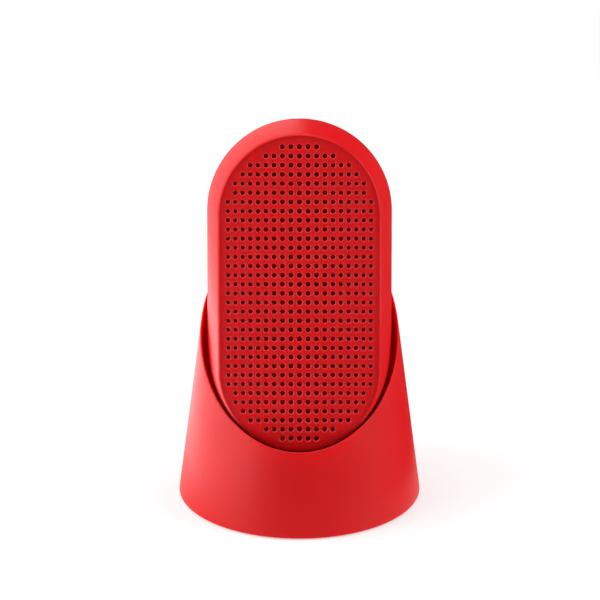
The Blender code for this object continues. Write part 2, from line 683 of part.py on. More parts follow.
def make_basket():
    """Driver frame with its flange, gasket and terminal."""
    inner = SPIDER_SEAT + BASKET_WALL
    profile = [
        (FLANGE_RADIUS, FLANGE_DEPTH), (FLANGE_RADIUS, FLANGE_DEPTH + FLANGE_THICKNESS),
        (RECESS_RADIUS, FLANGE_DEPTH + FLANGE_THICKNESS),
        (inner + BASKET_WALL, SPIDER_SHELF + BASKET_WALL), (MAGNET_RADIUS, SPIDER_SHELF + BASKET_WALL),
        (MAGNET_RADIUS, BASKET_BACK), (COIL_RADIUS + COIL_GAP, BASKET_BACK),
        (COIL_RADIUS + COIL_GAP, BASKET_BACK - BASKET_WALL),
        (MAGNET_RADIUS - BASKET_WALL, BASKET_BACK - BASKET_WALL),
        (MAGNET_RADIUS - BASKET_WALL, SPIDER_SHELF), (inner, SPIDER_SHELF),
        (RECESS_RADIUS - SURROUND_LIP - FIT, SHELF_DEPTH), (RECESS_RADIUS, SHELF_DEPTH),
        (RECESS_RADIUS, FLANGE_DEPTH)]
    basket = turned("driver_basket", profile, DARK_PLASTIC, DRIVER)
    holes = cylinders("flange_holes", DRIVER_SCREW_PLACES, SMALL_SHANK_RADIUS + FIT, 0, BAFFLE_END,
                      DRIVER)
    boolean(basket, "DIFFERENCE", holes)
    gasket_end = GASKET_START + GASKET_THICKNESS
    gasket_outline = circle(0, DRIVER_V, FLANGE_RADIUS, 2 * ROUND_STEPS)
    gasket_hole = circle(0, DRIVER_V, RECESS_RADIUS + FIT, 2 * ROUND_STEPS)
    clearance_holes = [
        circle(x, DRIVER_V + v, SMALL_SHANK_RADIUS + FIT, POST_STEPS) for x, v in DRIVER_SCREW_PLACES]
    flat_plate("driver_gasket", [gasket_outline, gasket_hole] + clearance_holes, GASKET_START,
               gasket_end, FOAM, SPEAKER)
    slope_start = FLANGE_DEPTH + FLANGE_THICKNESS
    slope = (RECESS_RADIUS - inner - BASKET_WALL) / (SPIDER_SHELF + BASKET_WALL - slope_start)
    wall_radius = RECESS_RADIUS - slope * (TERMINAL_START - slope_start)
    place = (0, TERMINAL_START + TERMINAL_LENGTH / 2, -(wall_radius + FIT + TERMINAL_HEIGHT / 2))
    block("driver_terminal", (TERMINAL_WIDTH, TERMINAL_LENGTH, TERMINAL_HEIGHT), TIN, DRIVER, place)


def make_motor():
    """Top plate, ring magnet and yoke with its pole."""
    gap = COIL_RADIUS + COIL_GAP
    pole = COIL_RADIUS - COIL_WALL - COIL_GAP
    turned("top_plate", [(PLATE_RADIUS, PLATE_START), (PLATE_RADIUS, PLATE_END), (gap, PLATE_END),
                         (gap, PLATE_START)], STEEL, DRIVER)
    turned("magnet", [(MAGNET_RADIUS, MAGNET_START), (MAGNET_RADIUS, MAGNET_END),
                      (MAGNET_HOLE, MAGNET_END), (MAGNET_HOLE, MAGNET_START)], FERRITE, DRIVER)
    turned("yoke", [(0, PLATE_START), (pole, PLATE_START), (pole, YOKE_START),
                    (PLATE_RADIUS, YOKE_START), (PLATE_RADIUS, YOKE_END), (0, YOKE_END)],
           STEEL, DRIVER, closed=False)


def make_suspension():
    """Half-roll surround and wavy spider."""
    back = SHELF_DEPTH - FIT
    front = back - SURROUND_THICKNESS
    middle = (ROLL_OUT + ROLL_IN) / 2
    small_roll = SURROUND_ROLL - SURROUND_THICKNESS
    turn = [math.pi * step / ROLL_STEPS for step in range(ROLL_STEPS + 1)]
    under = [(middle + small_roll * math.cos(a), front - small_roll * math.sin(a)) for a in turn]
    over = [(middle - SURROUND_ROLL * math.cos(a), front - SURROUND_ROLL * math.sin(a)) for a in turn]
    outer = ROLL_OUT + SURROUND_LIP
    inner = ROLL_IN - SURROUND_LIP
    profile = [(outer, front), (outer, back), (middle + small_roll, back)] + under
    profile += [(middle - small_roll, back), (inner, back), (inner, front)] + over
    turned("surround", profile, BLACK_RUBBER, DRIVER)

    start = COIL_RADIUS + FIT
    end = SPIDER_SEAT + BASKET_WALL - FIT
    waves = 2 * ROLL_STEPS
    radii = [start + (end - start) * step / waves for step in range(waves + 1)]
    heights = [SPIDER_WAVE * math.sin(math.pi * step / 2) for step in range(waves + 1)]
    spider_back = SPIDER_SHELF - FIT - SPIDER_WAVE
    back_side = [(r, spider_back + h) for r, h in zip(radii, heights)]
    front_side = [(r, spider_back + h - SPIDER_THICKNESS) for r, h in zip(radii, heights)]
    turned("spider", back_side[::-1] + front_side, PAPER, DRIVER)


def make_diaphragm():
    """Cone, dust cap and voice coil, which move together."""
    slope = CONE_DEPTH / (ROLL_IN - CONE_NECK)
    turned("speaker_cone", [
        (ROLL_IN, SHELF_DEPTH), (ROLL_IN, SHELF_DEPTH + CONE_THICKNESS),
        (CONE_NECK, NECK_DEPTH + CONE_THICKNESS), (CONE_NECK, NECK_DEPTH)], PAPER, DRIVER)
    rim_radius = CONE_NECK + DUST_CAP_OVERLAP
    rim_depth = NECK_DEPTH - slope * DUST_CAP_OVERLAP - FIT
    arc = [0.5 * math.pi * step / ROLL_STEPS for step in range(ROLL_STEPS + 1)]
    inner_rim = rim_radius - DUST_CAP_THICKNESS
    inner_rise = DUST_CAP_RISE - DUST_CAP_THICKNESS
    dome = [(rim_radius * math.sin(a), rim_depth - DUST_CAP_RISE * math.cos(a)) for a in arc]
    hollow = [(inner_rim * math.sin(a), rim_depth - inner_rise * math.cos(a)) for a in arc]
    turned("dust_cap", dome + hollow[::-1], PAPER, DRIVER, closed=False)
    coil_start = NECK_DEPTH - CONE_THICKNESS
    coil_end = coil_start + COIL_LENGTH
    bore = COIL_RADIUS - COIL_WALL
    turned("voice_coil", [(COIL_RADIUS, coil_start), (COIL_RADIUS, coil_end), (bore, coil_end),
                          (bore, coil_start)], COPPER, DRIVER)


def make_driver_screws():
    """Four screws from the front, through flange and gasket, into the baffle."""
    head_start = FLANGE_DEPTH - FIT - SMALL_HEAD_HEIGHT
    profile = screw_profile(SMALL_HEAD_RADIUS, SMALL_HEAD_HEIGHT, SMALL_SHANK_RADIUS,
                            BAFFLE_END - head_start)
    for number, (x, v) in enumerate(DRIVER_SCREW_PLACES, 1):
        turned(f"driver_screw_{number}", profile, STEEL, DRIVER, (x, head_start, v), SCREW_STEPS, False)


# Baffle and battery
BATTERY_TOP = DRIVER_V - FLANGE_RADIUS - BATTERY_ROOM
BATTERY_LOW = -POST_V + POST_RADIUS + BATTERY_ROOM
BATTERY_START = BAFFLE_END + 2 * FIT + BATTERY_PAD_THICKNESS


def make_baffle():
    """Plate across the case with the driver's opening."""
    outline = flat_capsule(body_radius(BAFFLE_START) - SHELL_WALL - FIT, body_straight(BAFFLE_START))
    opening = circle(0, DRIVER_V, RECESS_RADIUS + FIT, 2 * ROUND_STEPS)
    holes = [circle(x, v, CASE_HOLE, POST_STEPS) for x, v in POST_PLACES]
    holes += [circle(x, DRIVER_V + v, SMALL_SHANK_RADIUS + FIT, POST_STEPS)
              for x, v in DRIVER_SCREW_PLACES]
    flat_plate("baffle", [outline, opening] + holes, BAFFLE_START, BAFFLE_END, DARK_PLASTIC, SPEAKER)


def make_battery():
    """Flat cell on a foam pad behind the baffle."""
    height = BATTERY_TOP - BATTERY_LOW
    middle = (BATTERY_TOP + BATTERY_LOW) / 2
    pad_size = (BATTERY_WIDTH - BATTERY_PAD_INSET, BATTERY_PAD_THICKNESS, height - BATTERY_PAD_INSET)
    block("battery_pad", pad_size, FOAM, SPEAKER,
          (0, BAFFLE_END + FIT + BATTERY_PAD_THICKNESS / 2, middle))
    cell = block("battery", (BATTERY_WIDTH, BATTERY_THICKNESS, height), CELL_WRAP, SPEAKER,
                 (0, BATTERY_START + BATTERY_THICKNESS / 2, middle))
    rounding = cell.modifiers.new("round_edges", "BEVEL")
    rounding.width = BATTERY_EDGE
    rounding.segments = 2


# Circuit board
ON_BOARD = BOARD_END + FIT
BOARD_TOP_HALF = POST_X - POST_RADIUS - BOARD_POST_ROOM
BOARD_SCREW_PLACES = [
    (side * (half - BOARD_SCREW_INSET), v)
    for half, v in ((BOARD_HALF_WIDTH, BOARD_LOW + BOARD_SCREW_INSET),
                    (BOARD_TOP_HALF, BOARD_HIGH - BOARD_SCREW_INSET))
    for side in (-1, 1)]
BUTTON_PLACES = {
    "minus": (BUTTON_SPACING, BUTTON_V), "play": (0, BUTTON_V), "plus": (-BUTTON_SPACING, BUTTON_V)}
BUTTON_FLANGE_END = BACK_INSIDE - FIT
BUTTON_STEM_END = ON_BOARD + SWITCH_HEIGHT + PLUNGER_HEIGHT + FIT + BUTTON_TRAVEL


def make_board():
    """Board on posts of the rear shell, with its screws."""
    half_outline = [
        (BOARD_HALF_WIDTH, BOARD_LOW), (BOARD_HALF_WIDTH, BOARD_SHOULDER),
        (BOARD_TOP_HALF, BOARD_SHOULDER), (BOARD_TOP_HALF, BOARD_HIGH)]
    outline = half_outline + [(-x, v) for x, v in half_outline[::-1]]
    hole = SMALL_SHANK_RADIUS + FIT
    holes = [circle(x, v, hole, POST_STEPS) for x, v in BOARD_SCREW_PLACES]
    flat_plate("pcb", [outline] + holes, BOARD_START, BOARD_END, BOARD_GREEN, SPEAKER)
    head_start = BOARD_START - FIT - SMALL_HEAD_HEIGHT
    length = BACK_INSIDE - BOSS_TIP_COVER - head_start
    profile = screw_profile(SMALL_HEAD_RADIUS, SMALL_HEAD_HEIGHT, SMALL_SHANK_RADIUS, length)
    for number, (x, v) in enumerate(BOARD_SCREW_PLACES, 1):
        turned(f"pcb_screw_{number}", profile, STEEL, SPEAKER, (x, head_start, v), SCREW_STEPS, False)


def on_board(name, size, finish, x, v):
    """A box-shaped component that stands on the back of the board."""
    return block(name, size, finish, SPEAKER, (x, ON_BOARD + size[1] / 2, v))


def make_components():
    """Switches, light, radio, connectors and charging socket."""
    for name, (x, v) in BUTTON_PLACES.items():
        switch = on_board("switch_" + name, (SWITCH_SIDE, SWITCH_HEIGHT, SWITCH_SIDE), DARK_PLASTIC, x, v)
        top = ON_BOARD + SWITCH_HEIGHT
        plunger = cylinders("plunger_" + name, [(x, v)], PLUNGER_RADIUS, top - SWITCH_HEIGHT / 2,
                            top + PLUNGER_HEIGHT, SPEAKER)
        boolean(switch, "UNION", plunger)
    on_board("led", (LED_SIDE, LED_HEIGHT, LED_SIDE), CLEAR, 0, LIGHT_V)
    on_board("radio_module", RADIO_SIZE, TIN, 0, RADIO_V)
    on_board("battery_connector", CONNECTOR_SIZE, CLEAR, -CONNECTOR_X, CONNECTOR_V)
    on_board("speaker_connector", CONNECTOR_SIZE, CLEAR, CONNECTOR_X, CONNECTOR_V)
    pipe_start = ON_BOARD + LED_HEIGHT + FIT
    collar_end = BACK_INSIDE - FIT
    collar = PIPE_RADIUS + PIPE_COLLAR
    turned("light_pipe", [
        (0, pipe_start), (PIPE_RADIUS, pipe_start), (PIPE_RADIUS, collar_end - PIPE_COLLAR),
        (collar, collar_end - PIPE_COLLAR), (collar, collar_end), (PIPE_RADIUS, collar_end),
        (PIPE_RADIUS, BODY_DEPTH), (0, BODY_DEPTH)], CLEAR, SPEAKER, (0, 0, LIGHT_V), POST_STEPS, False)
    make_socket()


def slot_ring(radius, straight, depth):
    """A lying capsule outline about the charging socket."""
    return [(v, depth, SOCKET_V + x) for x, _, v in capsule(radius, straight, 0, SLOT_STEPS)]


def make_socket():
    """Upright charging socket, open at the back of the case."""
    bore = SOCKET_RADIUS - SOCKET_WALL
    floor = ON_BOARD + SOCKET_FLOOR
    mouth = BODY_DEPTH - FIT
    rings = [
        slot_ring(bore, SOCKET_STRAIGHT, floor), slot_ring(bore, SOCKET_STRAIGHT, mouth),
        slot_ring(SOCKET_RADIUS, SOCKET_STRAIGHT, mouth), slot_ring(SOCKET_RADIUS, SOCKET_STRAIGHT, ON_BOARD)]
    add_part("usb_socket", loft("usb_socket", rings, True), TIN, SPEAKER)


def make_buttons():
    """Round keys in the back wall, each with a retaining flange and a stem."""
    flange_start = BUTTON_FLANGE_END - BUTTON_FLANGE_THICKNESS
    flange = BUTTON_RADIUS + BUTTON_FLANGE
    top = BODY_DEPTH + BUTTON_PROUD
    profile = [
        (0, BUTTON_STEM_END), (BUTTON_STEM_RADIUS, BUTTON_STEM_END), (BUTTON_STEM_RADIUS, flange_start),
        (flange, flange_start), (flange, BUTTON_FLANGE_END), (BUTTON_RADIUS, BUTTON_FLANGE_END),
        (BUTTON_RADIUS, top - BUTTON_EDGE), (BUTTON_RADIUS - BUTTON_EDGE, top), (0, top)]
    profile = [(radius, depth - BODY_DEPTH) for radius, depth in profile]
    for name, (x, v) in BUTTON_PLACES.items():
        turned("button_" + name, profile, RED_PLASTIC, SPEAKER, (x, BODY_DEPTH, v), ROUND_STEPS, False)


def lead(name, route, finish):
    """A thin wire through a few points, smoothed, with flat ends."""
    curve = bpy.data.curves.new(name, "CURVE")
    curve.dimensions = "3D"
    curve.bevel_depth = LEAD_RADIUS
    curve.bevel_resolution = 1
    curve.resolution_u = 4
    curve.use_fill_caps = True
    spline = curve.splines.new("BEZIER")
    spline.bezier_points.add(len(route) - 1)
    for point, place in zip(spline.bezier_points, route):
        point.co = place
        point.handle_left_type = "AUTO"
        point.handle_right_type = "AUTO"
    wire = bpy.data.objects.new(name, curve)
    PARTS.objects.link(wire)
    wire.parent = SPEAKER
    weld = wire.modifiers.new("weld_caps", "WELD")
    weld.merge_threshold = WELD_DISTANCE
    set_finish(wire, finish)


def make_leads():
    """Leads from the battery and from the driver's terminal to the board."""
    plug_depth = ON_BOARD + CONNECTOR_SIZE[1] / 2
    plug_v = CONNECTOR_V - CONNECTOR_SIZE[2] / 2 - LEAD_END_GAP
    bend_v = (BOARD_LOW + BATTERY_TOP) / 2
    battery_depth = BATTERY_START + BATTERY_THICKNESS / 2
    half_way = (battery_depth + plug_depth) / 2
    lead("battery_lead", [
        (-CONNECTOR_X, battery_depth, BATTERY_TOP + LEAD_END_GAP), (-CONNECTOR_X, half_way, bend_v),
        (-CONNECTOR_X, plug_depth, BOARD_LOW), (-CONNECTOR_X, plug_depth, plug_v)], BLACK_RUBBER)
    terminal_end = TERMINAL_START + TERMINAL_LENGTH + LEAD_END_GAP
    terminal_v = DRIVER_V - RECESS_RADIUS + TERMINAL_HEIGHT / 2
    lead("speaker_lead", [
        (TERMINAL_WIDTH / 4, terminal_end, terminal_v), (CONNECTOR_X / 2, MAGNET_START, bend_v),
        (CONNECTOR_X, plug_depth, BOARD_LOW), (CONNECTOR_X, plug_depth, plug_v)], BLACK_RUBBER)


# Back of the case
def rear_inner(share_angle):
    """The inside capsule of the rear shell, by angle from the belt to the flat back."""
    radius_back = BACK_RADIUS - BACK_WALL / 2
    radius = radius_back + (BELT_RADIUS - SHELL_WALL - radius_back) * math.cos(share_angle)
    straight = BACK_STRAIGHT + (BELT_STRAIGHT - BACK_STRAIGHT) * math.cos(share_angle)
    depth = REAR_START + (BACK_INSIDE - REAR_START) * math.sin(share_angle)
    return capsule(radius, straight, depth)


def make_rear_shell():
    """Rounded back with screw posts, board posts and the openings for keys, light and socket."""
    quarter = [0.5 * math.pi * step / REAR_STEPS for step in range(REAR_STEPS + 1)]
    rings = [rear_inner(angle) for angle in quarter[::-1]]
    rings += [section(depth) for depth in rear_depths(REAR_START, BODY_DEPTH, REAR_STEPS)]
    shell = add_part("rear_shell", loft("rear_shell", rings, True), RED_PLASTIC, SPEAKER)

    post_start = BAFFLE_END + FIT
    beyond = BODY_DEPTH + BACK_WALL
    posts = cylinders("rear_posts", POST_PLACES, POST_RADIUS, post_start, beyond, SPEAKER)
    trim_rings = [section(depth, SHELL_WALL / 2) for depth in (FLANGE_DEPTH, BELT_DEPTH)]
    trim_depths = rear_depths(BELT_DEPTH, BODY_DEPTH, REAR_STEPS)[1:]
    trim_rings += [
        capsule(body_radius(d) - SHELL_WALL / 2, body_straight(d), d - BACK_WALL / 2) for d in trim_depths]
    trim = add_cutter("post_trim", loft("post_trim", trim_rings, True), SPEAKER)
    boolean(posts, "INTERSECT", trim)
    boolean(shell, "UNION", posts)
    board_posts = cylinders("board_posts", BOARD_SCREW_PLACES, BOARD_POST_RADIUS, ON_BOARD,
                            BACK_INSIDE + BOARD_POST_EMBED, SPEAKER)
    boolean(shell, "UNION", board_posts)

    wells = cylinders("screw_wells", POST_PLACES, CASE_HEAD_RADIUS + FIT, post_start + POST_END_WALL,
                      beyond, SPEAKER)
    holes = cylinders("screw_holes", POST_PLACES, CASE_HOLE, FLANGE_DEPTH, beyond, SPEAKER)
    pilots = cylinders("board_pilots", BOARD_SCREW_PLACES, SMALL_SHANK_RADIUS + FIT, BOARD_START,
                       BACK_INSIDE - BOSS_TIP_COVER + FIT, SPEAKER)
    keys = cylinders("key_holes", BUTTON_PLACES.values(), BUTTON_RADIUS + FIT, BACK_INSIDE - BACK_WALL,
                     beyond, SPEAKER)
    light = cylinders("light_hole", [(0, LIGHT_V)], PIPE_RADIUS + FIT, BACK_INSIDE - BACK_WALL, beyond,
                      SPEAKER)
    slot_rings = [slot_ring(SOCKET_RADIUS + FIT, SOCKET_STRAIGHT, depth)
                  for depth in (BACK_INSIDE - BACK_WALL, beyond)]
    slot = add_cutter("socket_slot", loft("socket_slot", slot_rings, True), SPEAKER)
    for cutter in (wells, holes, pilots, keys, light, slot):
        boolean(shell, "DIFFERENCE", cutter)


def make_case_screws():
    """Four long screws in the rear wells, through the baffle, into the front posts."""
    head_end = BAFFLE_END + FIT + POST_END_WALL + FIT
    tip = CLOTH_END + FIT + BOSS_TIP_COVER + FIT
    profile = screw_profile(CASE_HEAD_RADIUS, CASE_HEAD_HEIGHT, CASE_SHANK_RADIUS,
                            head_end + CASE_HEAD_HEIGHT - tip)
    flipped = [(radius, -depth) for radius, depth in profile[::-1]]
    for number, (x, v) in enumerate(POST_PLACES, 1):
        turned(f"case_screw_{number}", flipped, STEEL, SPEAKER, (x, head_end + CASE_HEAD_HEIGHT, v),
               SCREW_STEPS, False)


def make_seal():
    """Ring in the front shell's rebate, pressed by the rear shell."""
    outer = body_radius(FRONT_END) - SEAM_LAND - FIT
    inner = body_radius(FRONT_END) - SHELL_WALL
    straight = body_straight(FRONT_END)
    flat_plate("case_seal", [flat_capsule(outer, straight), flat_capsule(inner, straight)],
               FRONT_END - SEAL_REBATE + FIT, REAR_START - FIT, BLACK_RUBBER, SPEAKER)


make_stand_shell()
make_base()
make_cradle()
make_front_shell()
make_grille()
make_basket()
make_motor()
make_suspension()
make_diaphragm()
make_driver_screws()
make_baffle()
make_battery()
make_board()
make_components()
make_buttons()
make_leads()
make_rear_shell()
make_case_screws()
make_seal()
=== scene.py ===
# %% [markdown]
# # A pocket speaker in its desk stand
# The object is a small capsule-shaped speaker that leans back in a cone-shaped stand. Its solids come
# packed from the modelling step, each one already in its place. They could be dressed as they are, but
# their round shapes are made of flat facets. So this lesson keeps their places and sizes, and lays smooth
# surfaces and finishes over them.

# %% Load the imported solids
import json
import math

import bmesh
import bpy
import numpy as np
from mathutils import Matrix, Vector


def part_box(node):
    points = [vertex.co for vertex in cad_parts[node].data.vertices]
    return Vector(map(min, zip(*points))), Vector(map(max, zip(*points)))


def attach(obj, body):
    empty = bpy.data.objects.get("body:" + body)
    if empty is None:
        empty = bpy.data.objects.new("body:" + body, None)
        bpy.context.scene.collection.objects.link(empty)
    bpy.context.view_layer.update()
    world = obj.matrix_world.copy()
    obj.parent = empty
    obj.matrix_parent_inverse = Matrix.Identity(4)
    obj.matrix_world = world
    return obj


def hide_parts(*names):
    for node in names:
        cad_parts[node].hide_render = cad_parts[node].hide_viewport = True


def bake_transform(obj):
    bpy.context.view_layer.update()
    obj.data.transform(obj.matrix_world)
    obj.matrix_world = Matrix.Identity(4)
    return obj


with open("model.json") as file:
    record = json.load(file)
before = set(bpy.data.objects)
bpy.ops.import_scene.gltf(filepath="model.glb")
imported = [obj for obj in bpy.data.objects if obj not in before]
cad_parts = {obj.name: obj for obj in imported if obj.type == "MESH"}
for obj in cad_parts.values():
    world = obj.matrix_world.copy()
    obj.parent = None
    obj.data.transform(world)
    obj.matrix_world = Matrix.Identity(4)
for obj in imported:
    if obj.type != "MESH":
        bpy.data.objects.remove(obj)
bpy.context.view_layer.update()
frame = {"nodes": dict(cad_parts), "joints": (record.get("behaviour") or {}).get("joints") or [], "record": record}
nodes = frame["nodes"]
record = frame["record"]
scene = bpy.context.scene

# %% [markdown]
# ## Camera
# The picture was taken from straight in front and a little above, with a long lens, so the sides hardly
# converge. A camera can be aimed with a constraint, but plain numbers for its place and its pitch are
# easier to compare with a picture. The lens follows from the size of the object in the frame.

# %% Camera
MM = 0.001
CAMERA_PLACE = (0.13 * MM, -967.05 * MM, 447.93 * MM)
CAMERA_PITCH = math.radians(22.07)
CAMERA_LENS = 232.7
SENSOR_WIDTH = 36.0

camera_data = bpy.data.cameras.new("camera")
camera_data.sensor_width = SENSOR_WIDTH
camera_data.lens = CAMERA_LENS
camera = bpy.data.objects.new("camera", camera_data)
camera.location = CAMERA_PLACE
camera.rotation_euler = (math.pi / 2 - CAMERA_PITCH, 0, 0)
scene.collection.objects.link(camera)
scene.camera = camera
print("camera:", [round(c, 3) for c in camera.location], "lens:", camera_data.lens)

# %% [markdown]
# ## Node trees as formulas
# A finish is a small program: coordinates go in, colour, roughness and relief come out. Clicking the
# nodes together works for one material, but formulas are shorter for a dozen. The class below wraps one
# socket, so that plus, minus and times between sockets add the Math nodes, and one method adds any other
# node.

# %% A socket that understands arithmetic
class Signal:
    """One output of a node tree; arithmetic with numbers or other signals adds Math nodes."""

    def __init__(self, tree, socket):
        self.tree = tree
        self.socket = socket

    def math(self, operation, first, second):
        return self.tree.node("ShaderNodeMath", {"operation": operation}, {0: first, 1: second})

    def __add__(self, other):
        return self.math("ADD", self, other)

    def __radd__(self, other):
        return self.math("ADD", other, self)

    def __sub__(self, other):
        return self.math("SUBTRACT", self, other)

    def __rsub__(self, other):
        return self.math("SUBTRACT", other, self)

    def __mul__(self, other):
        return self.math("MULTIPLY", self, other)

    def __rmul__(self, other):
        return self.math("MULTIPLY", other, self)

    def __gt__(self, other):
        return self.math("GREATER_THAN", self, other)


# %% A node tree with one method for any node
class Tree:
    """A node tree; node() sets a new node's settings first and then its sockets, by name or number."""

    def __init__(self, owner):
        owner.use_nodes = True
        self.nodes = owner.node_tree.nodes
        self.links = owner.node_tree.links
        self.nodes.clear()

    def fill(self, socket, value):
        if isinstance(value, Signal):
            self.links.new(value.socket, socket)
        else:
            socket.default_value = value

    def node(self, kind, settings=None, sockets=None, out=0):
        made = self.nodes.new(kind)
        for name, value in (settings or {}).items():
            setattr(made, name, value)
        for name, value in (sockets or {}).items():
            self.fill(made.inputs[name], value)
        return Signal(self, made.outputs[out]) if made.outputs else None

    def mix(self, share, first, second):
        """Colour mix: first where share is 0, second where it is 1."""
        return self.node("ShaderNodeMix", {"data_type": "RGBA"}, {0: share, 6: first, 7: second}, 2)

    def noise(self, place, scale, detail=2.0):
        """Soft random values between 0 and 1, with so many ripples to the metre."""
        return self.node("ShaderNodeTexNoise", None, {"Vector": place, "Scale": scale, "Detail": detail})

    def place(self):
        """A point's own place on the object, in metres."""
        return self.node("ShaderNodeTexCoord", out="Object")


print("formula classes ready")

# %% [markdown]
# ## Studio
# The picture shows a pure white surround, a strong soft light from the left, a weaker one from the right
# and little light from the camera's side. The floor is a pale plane that glows a little and also catches
# light, so it stays near white and still keeps the shadow; far from the object it only glows. The world
# is white where the camera or a reflection looks at it and dimmer as a lamp. Two dark screens, in front
# and at the right, keep those sides calm. Photographers also put cards close to a product: here small
# dark cards calm the right, and a white one brightens the left. Only reflections see the cards, so they
# cast no light and no shadow.

# %% World and floor
WORLD_LIGHT = 0.35
FLOOR_HALF = 3.0
FLOOR_GLOW = 0.5
FLOOR_FADE = (0.12, 0.45)
FLOOR_GREY = (0.93, 0.93, 0.93, 1)
WHITE = (1, 1, 1, 1)

scene.view_settings.view_transform = "Standard"
world = bpy.data.worlds.new("studio")
scene.world = world
sky = Tree(world)
seen = sky.node("ShaderNodeLightPath", out="Is Camera Ray")
mirrored = sky.node("ShaderNodeLightPath", out="Is Glossy Ray")
through = sky.node("ShaderNodeLightPath", out="Is Transmission Ray")
direct = (seen + mirrored + through) > 0.5
sky_light = sky.node("ShaderNodeBackground", None, {
    "Color": WHITE, "Strength": WORLD_LIGHT + (1 - WORLD_LIGHT) * direct})
sky.node("ShaderNodeOutputWorld", None, {"Surface": sky_light})


def stage_plane(name, corners):
    """A flat four-cornered stage piece."""
    mesh = bpy.data.meshes.new(name)
    mesh.from_pydata(corners, [], [(0, 1, 2, 3)])
    plane = bpy.data.objects.new(name, mesh)
    scene.collection.objects.link(plane)
    return plane


def surface(name):
    """A new material and its tree."""
    material = bpy.data.materials.new(name)
    return material, Tree(material)


floor = stage_plane("floor", [
    (-FLOOR_HALF, -FLOOR_HALF, 0), (FLOOR_HALF, -FLOOR_HALF, 0),
    (FLOOR_HALF, FLOOR_HALF, 0), (-FLOOR_HALF, FLOOR_HALF, 0)])
floor_paint, ground = surface("floor_paint")
matt = ground.node("ShaderNodeBsdfDiffuse", None, {"Color": FLOOR_GREY})
glow = ground.node("ShaderNodeEmission", None, {"Color": WHITE, "Strength": 1.0})
distance = ground.node("ShaderNodeVectorMath", {"operation": "LENGTH"}, {0: ground.place()}, "Value")
share = ground.node("ShaderNodeMapRange", {"interpolation_type": "SMOOTHSTEP"}, {
    "Value": distance, "From Min": FLOOR_FADE[0], "From Max": FLOOR_FADE[1],
    "To Min": FLOOR_GLOW, "To Max": 1.0})
both = ground.node("ShaderNodeMixShader", None, {0: share, 1: matt, 2: glow})
ground.node("ShaderNodeOutputMaterial", None, {"Surface": both})
floor.data.materials.append(floor_paint)
print("floor:", floor.dimensions[:])

# %% Dark screens
SCREEN_HALF = 1.6
SCREEN_SIDE = 1.1
SCREEN_TOP = 2.6
FELT_GREY = (0.05, 0.05, 0.05, 1)


def plain_paint(name, kind, sockets):
    """A material of one shader."""
    material, tree = surface(name)
    tree.node("ShaderNodeOutputMaterial", None, {"Surface": tree.node(kind, None, sockets)})
    return material


def add_screen(name, start, end, height, paint):
    """An upright screen over the floor line from start to end, which the camera does not see."""
    screen = stage_plane(name, [(*start, 0), (*end, 0), (*end, height), (*start, height)])
    screen.visible_camera = False
    screen.data.materials.append(paint)
    return screen


felt = plain_paint("screen_paint", "ShaderNodeBsdfDiffuse", {"Color": FELT_GREY})
screen_lines = {"front_screen": ((-SCREEN_HALF, -SCREEN_HALF), (SCREEN_SIDE, -SCREEN_HALF)),
                "right_screen": ((SCREEN_SIDE, -SCREEN_HALF), (SCREEN_SIDE, SCREEN_HALF))}
for name, (start, end) in screen_lines.items():
    add_screen(name, start, end, SCREEN_TOP, felt)
print("screens:", list(screen_lines))

# %% Cards that only reflections see
CARD_SIDE = 0.045
CARD_FRONT = -0.06
CARD_BACK = 0.05
CARD_TOP = 0.5
LOW_CARD_TOP = 0.05
LOW_CARD_LEFT = -0.02
WHITE_CARD_SIDE = -0.05
WHITE_CARD_BACK = 0.14
WHITE_CARD_TOP = 0.04
WHITE_CARD_GLOW = 3.2

white_paint = plain_paint("card_paint", "ShaderNodeEmission", {"Color": WHITE, "Strength": WHITE_CARD_GLOW})
cards = {
    "right_card": ((CARD_SIDE, 0.0), (CARD_SIDE, CARD_BACK), CARD_TOP, felt),
    "back_card": ((CARD_SIDE, CARD_BACK), (0.0, CARD_BACK), CARD_TOP, felt),
    "low_right_card": ((CARD_SIDE, CARD_FRONT), (CARD_SIDE, 0.0), LOW_CARD_TOP, felt),
    "low_front_card": ((LOW_CARD_LEFT, CARD_FRONT), (CARD_SIDE, CARD_FRONT), LOW_CARD_TOP, felt),
    "white_card": ((WHITE_CARD_SIDE, CARD_FRONT), (WHITE_CARD_SIDE, WHITE_CARD_BACK), WHITE_CARD_TOP,
                   white_paint)}
for name, (start, end, height, paint) in cards.items():
    card = add_screen(name, start, end, height, paint)
    card.visible_diffuse = False
    card.visible_shadow = False
    card.visible_transmission = False
print("cards:", list(cards))

# %% Lamps
LAMPS = {
    "left_softbox": ((-0.78, -0.15, 0.40), (1.00, 0.78), 8.2),
    "right_softbox": ((0.83, -0.22, 0.36), (0.60, 0.70), 6.5),
    "top_softbox": ((0.0, 0.08, 0.95), (0.80, 0.80), 6.0)}
AIM = Vector((0.0, 0.0, 0.05))


def add_lamp(name, place, size, power):
    """A soft lamp, so wide and so high, that looks at the middle of the object."""
    data = bpy.data.lights.new(name, "AREA")
    data.shape = "RECTANGLE"
    data.size, data.size_y = size
    data.energy = power
    lamp = bpy.data.objects.new(name, data)
    lamp.location = place
    away = lamp.location - AIM
    lamp.rotation_euler = away.to_track_quat("Z", "Y").to_euler()
    scene.collection.objects.link(lamp)


for name, (place, size, power) in LAMPS.items():
    add_lamp(name, place, size, power)
print("lamps:", list(LAMPS))

# %% [markdown]
# ## The speaker's own frame
# The speaker leans back, so its surfaces are easier to write in its own directions: across, into the body
# from the flat front, and up along the front. The lift joint gives the way up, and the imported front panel
# gives the middle of the front. One function then turns whole arrays of such coordinates into world
# places.

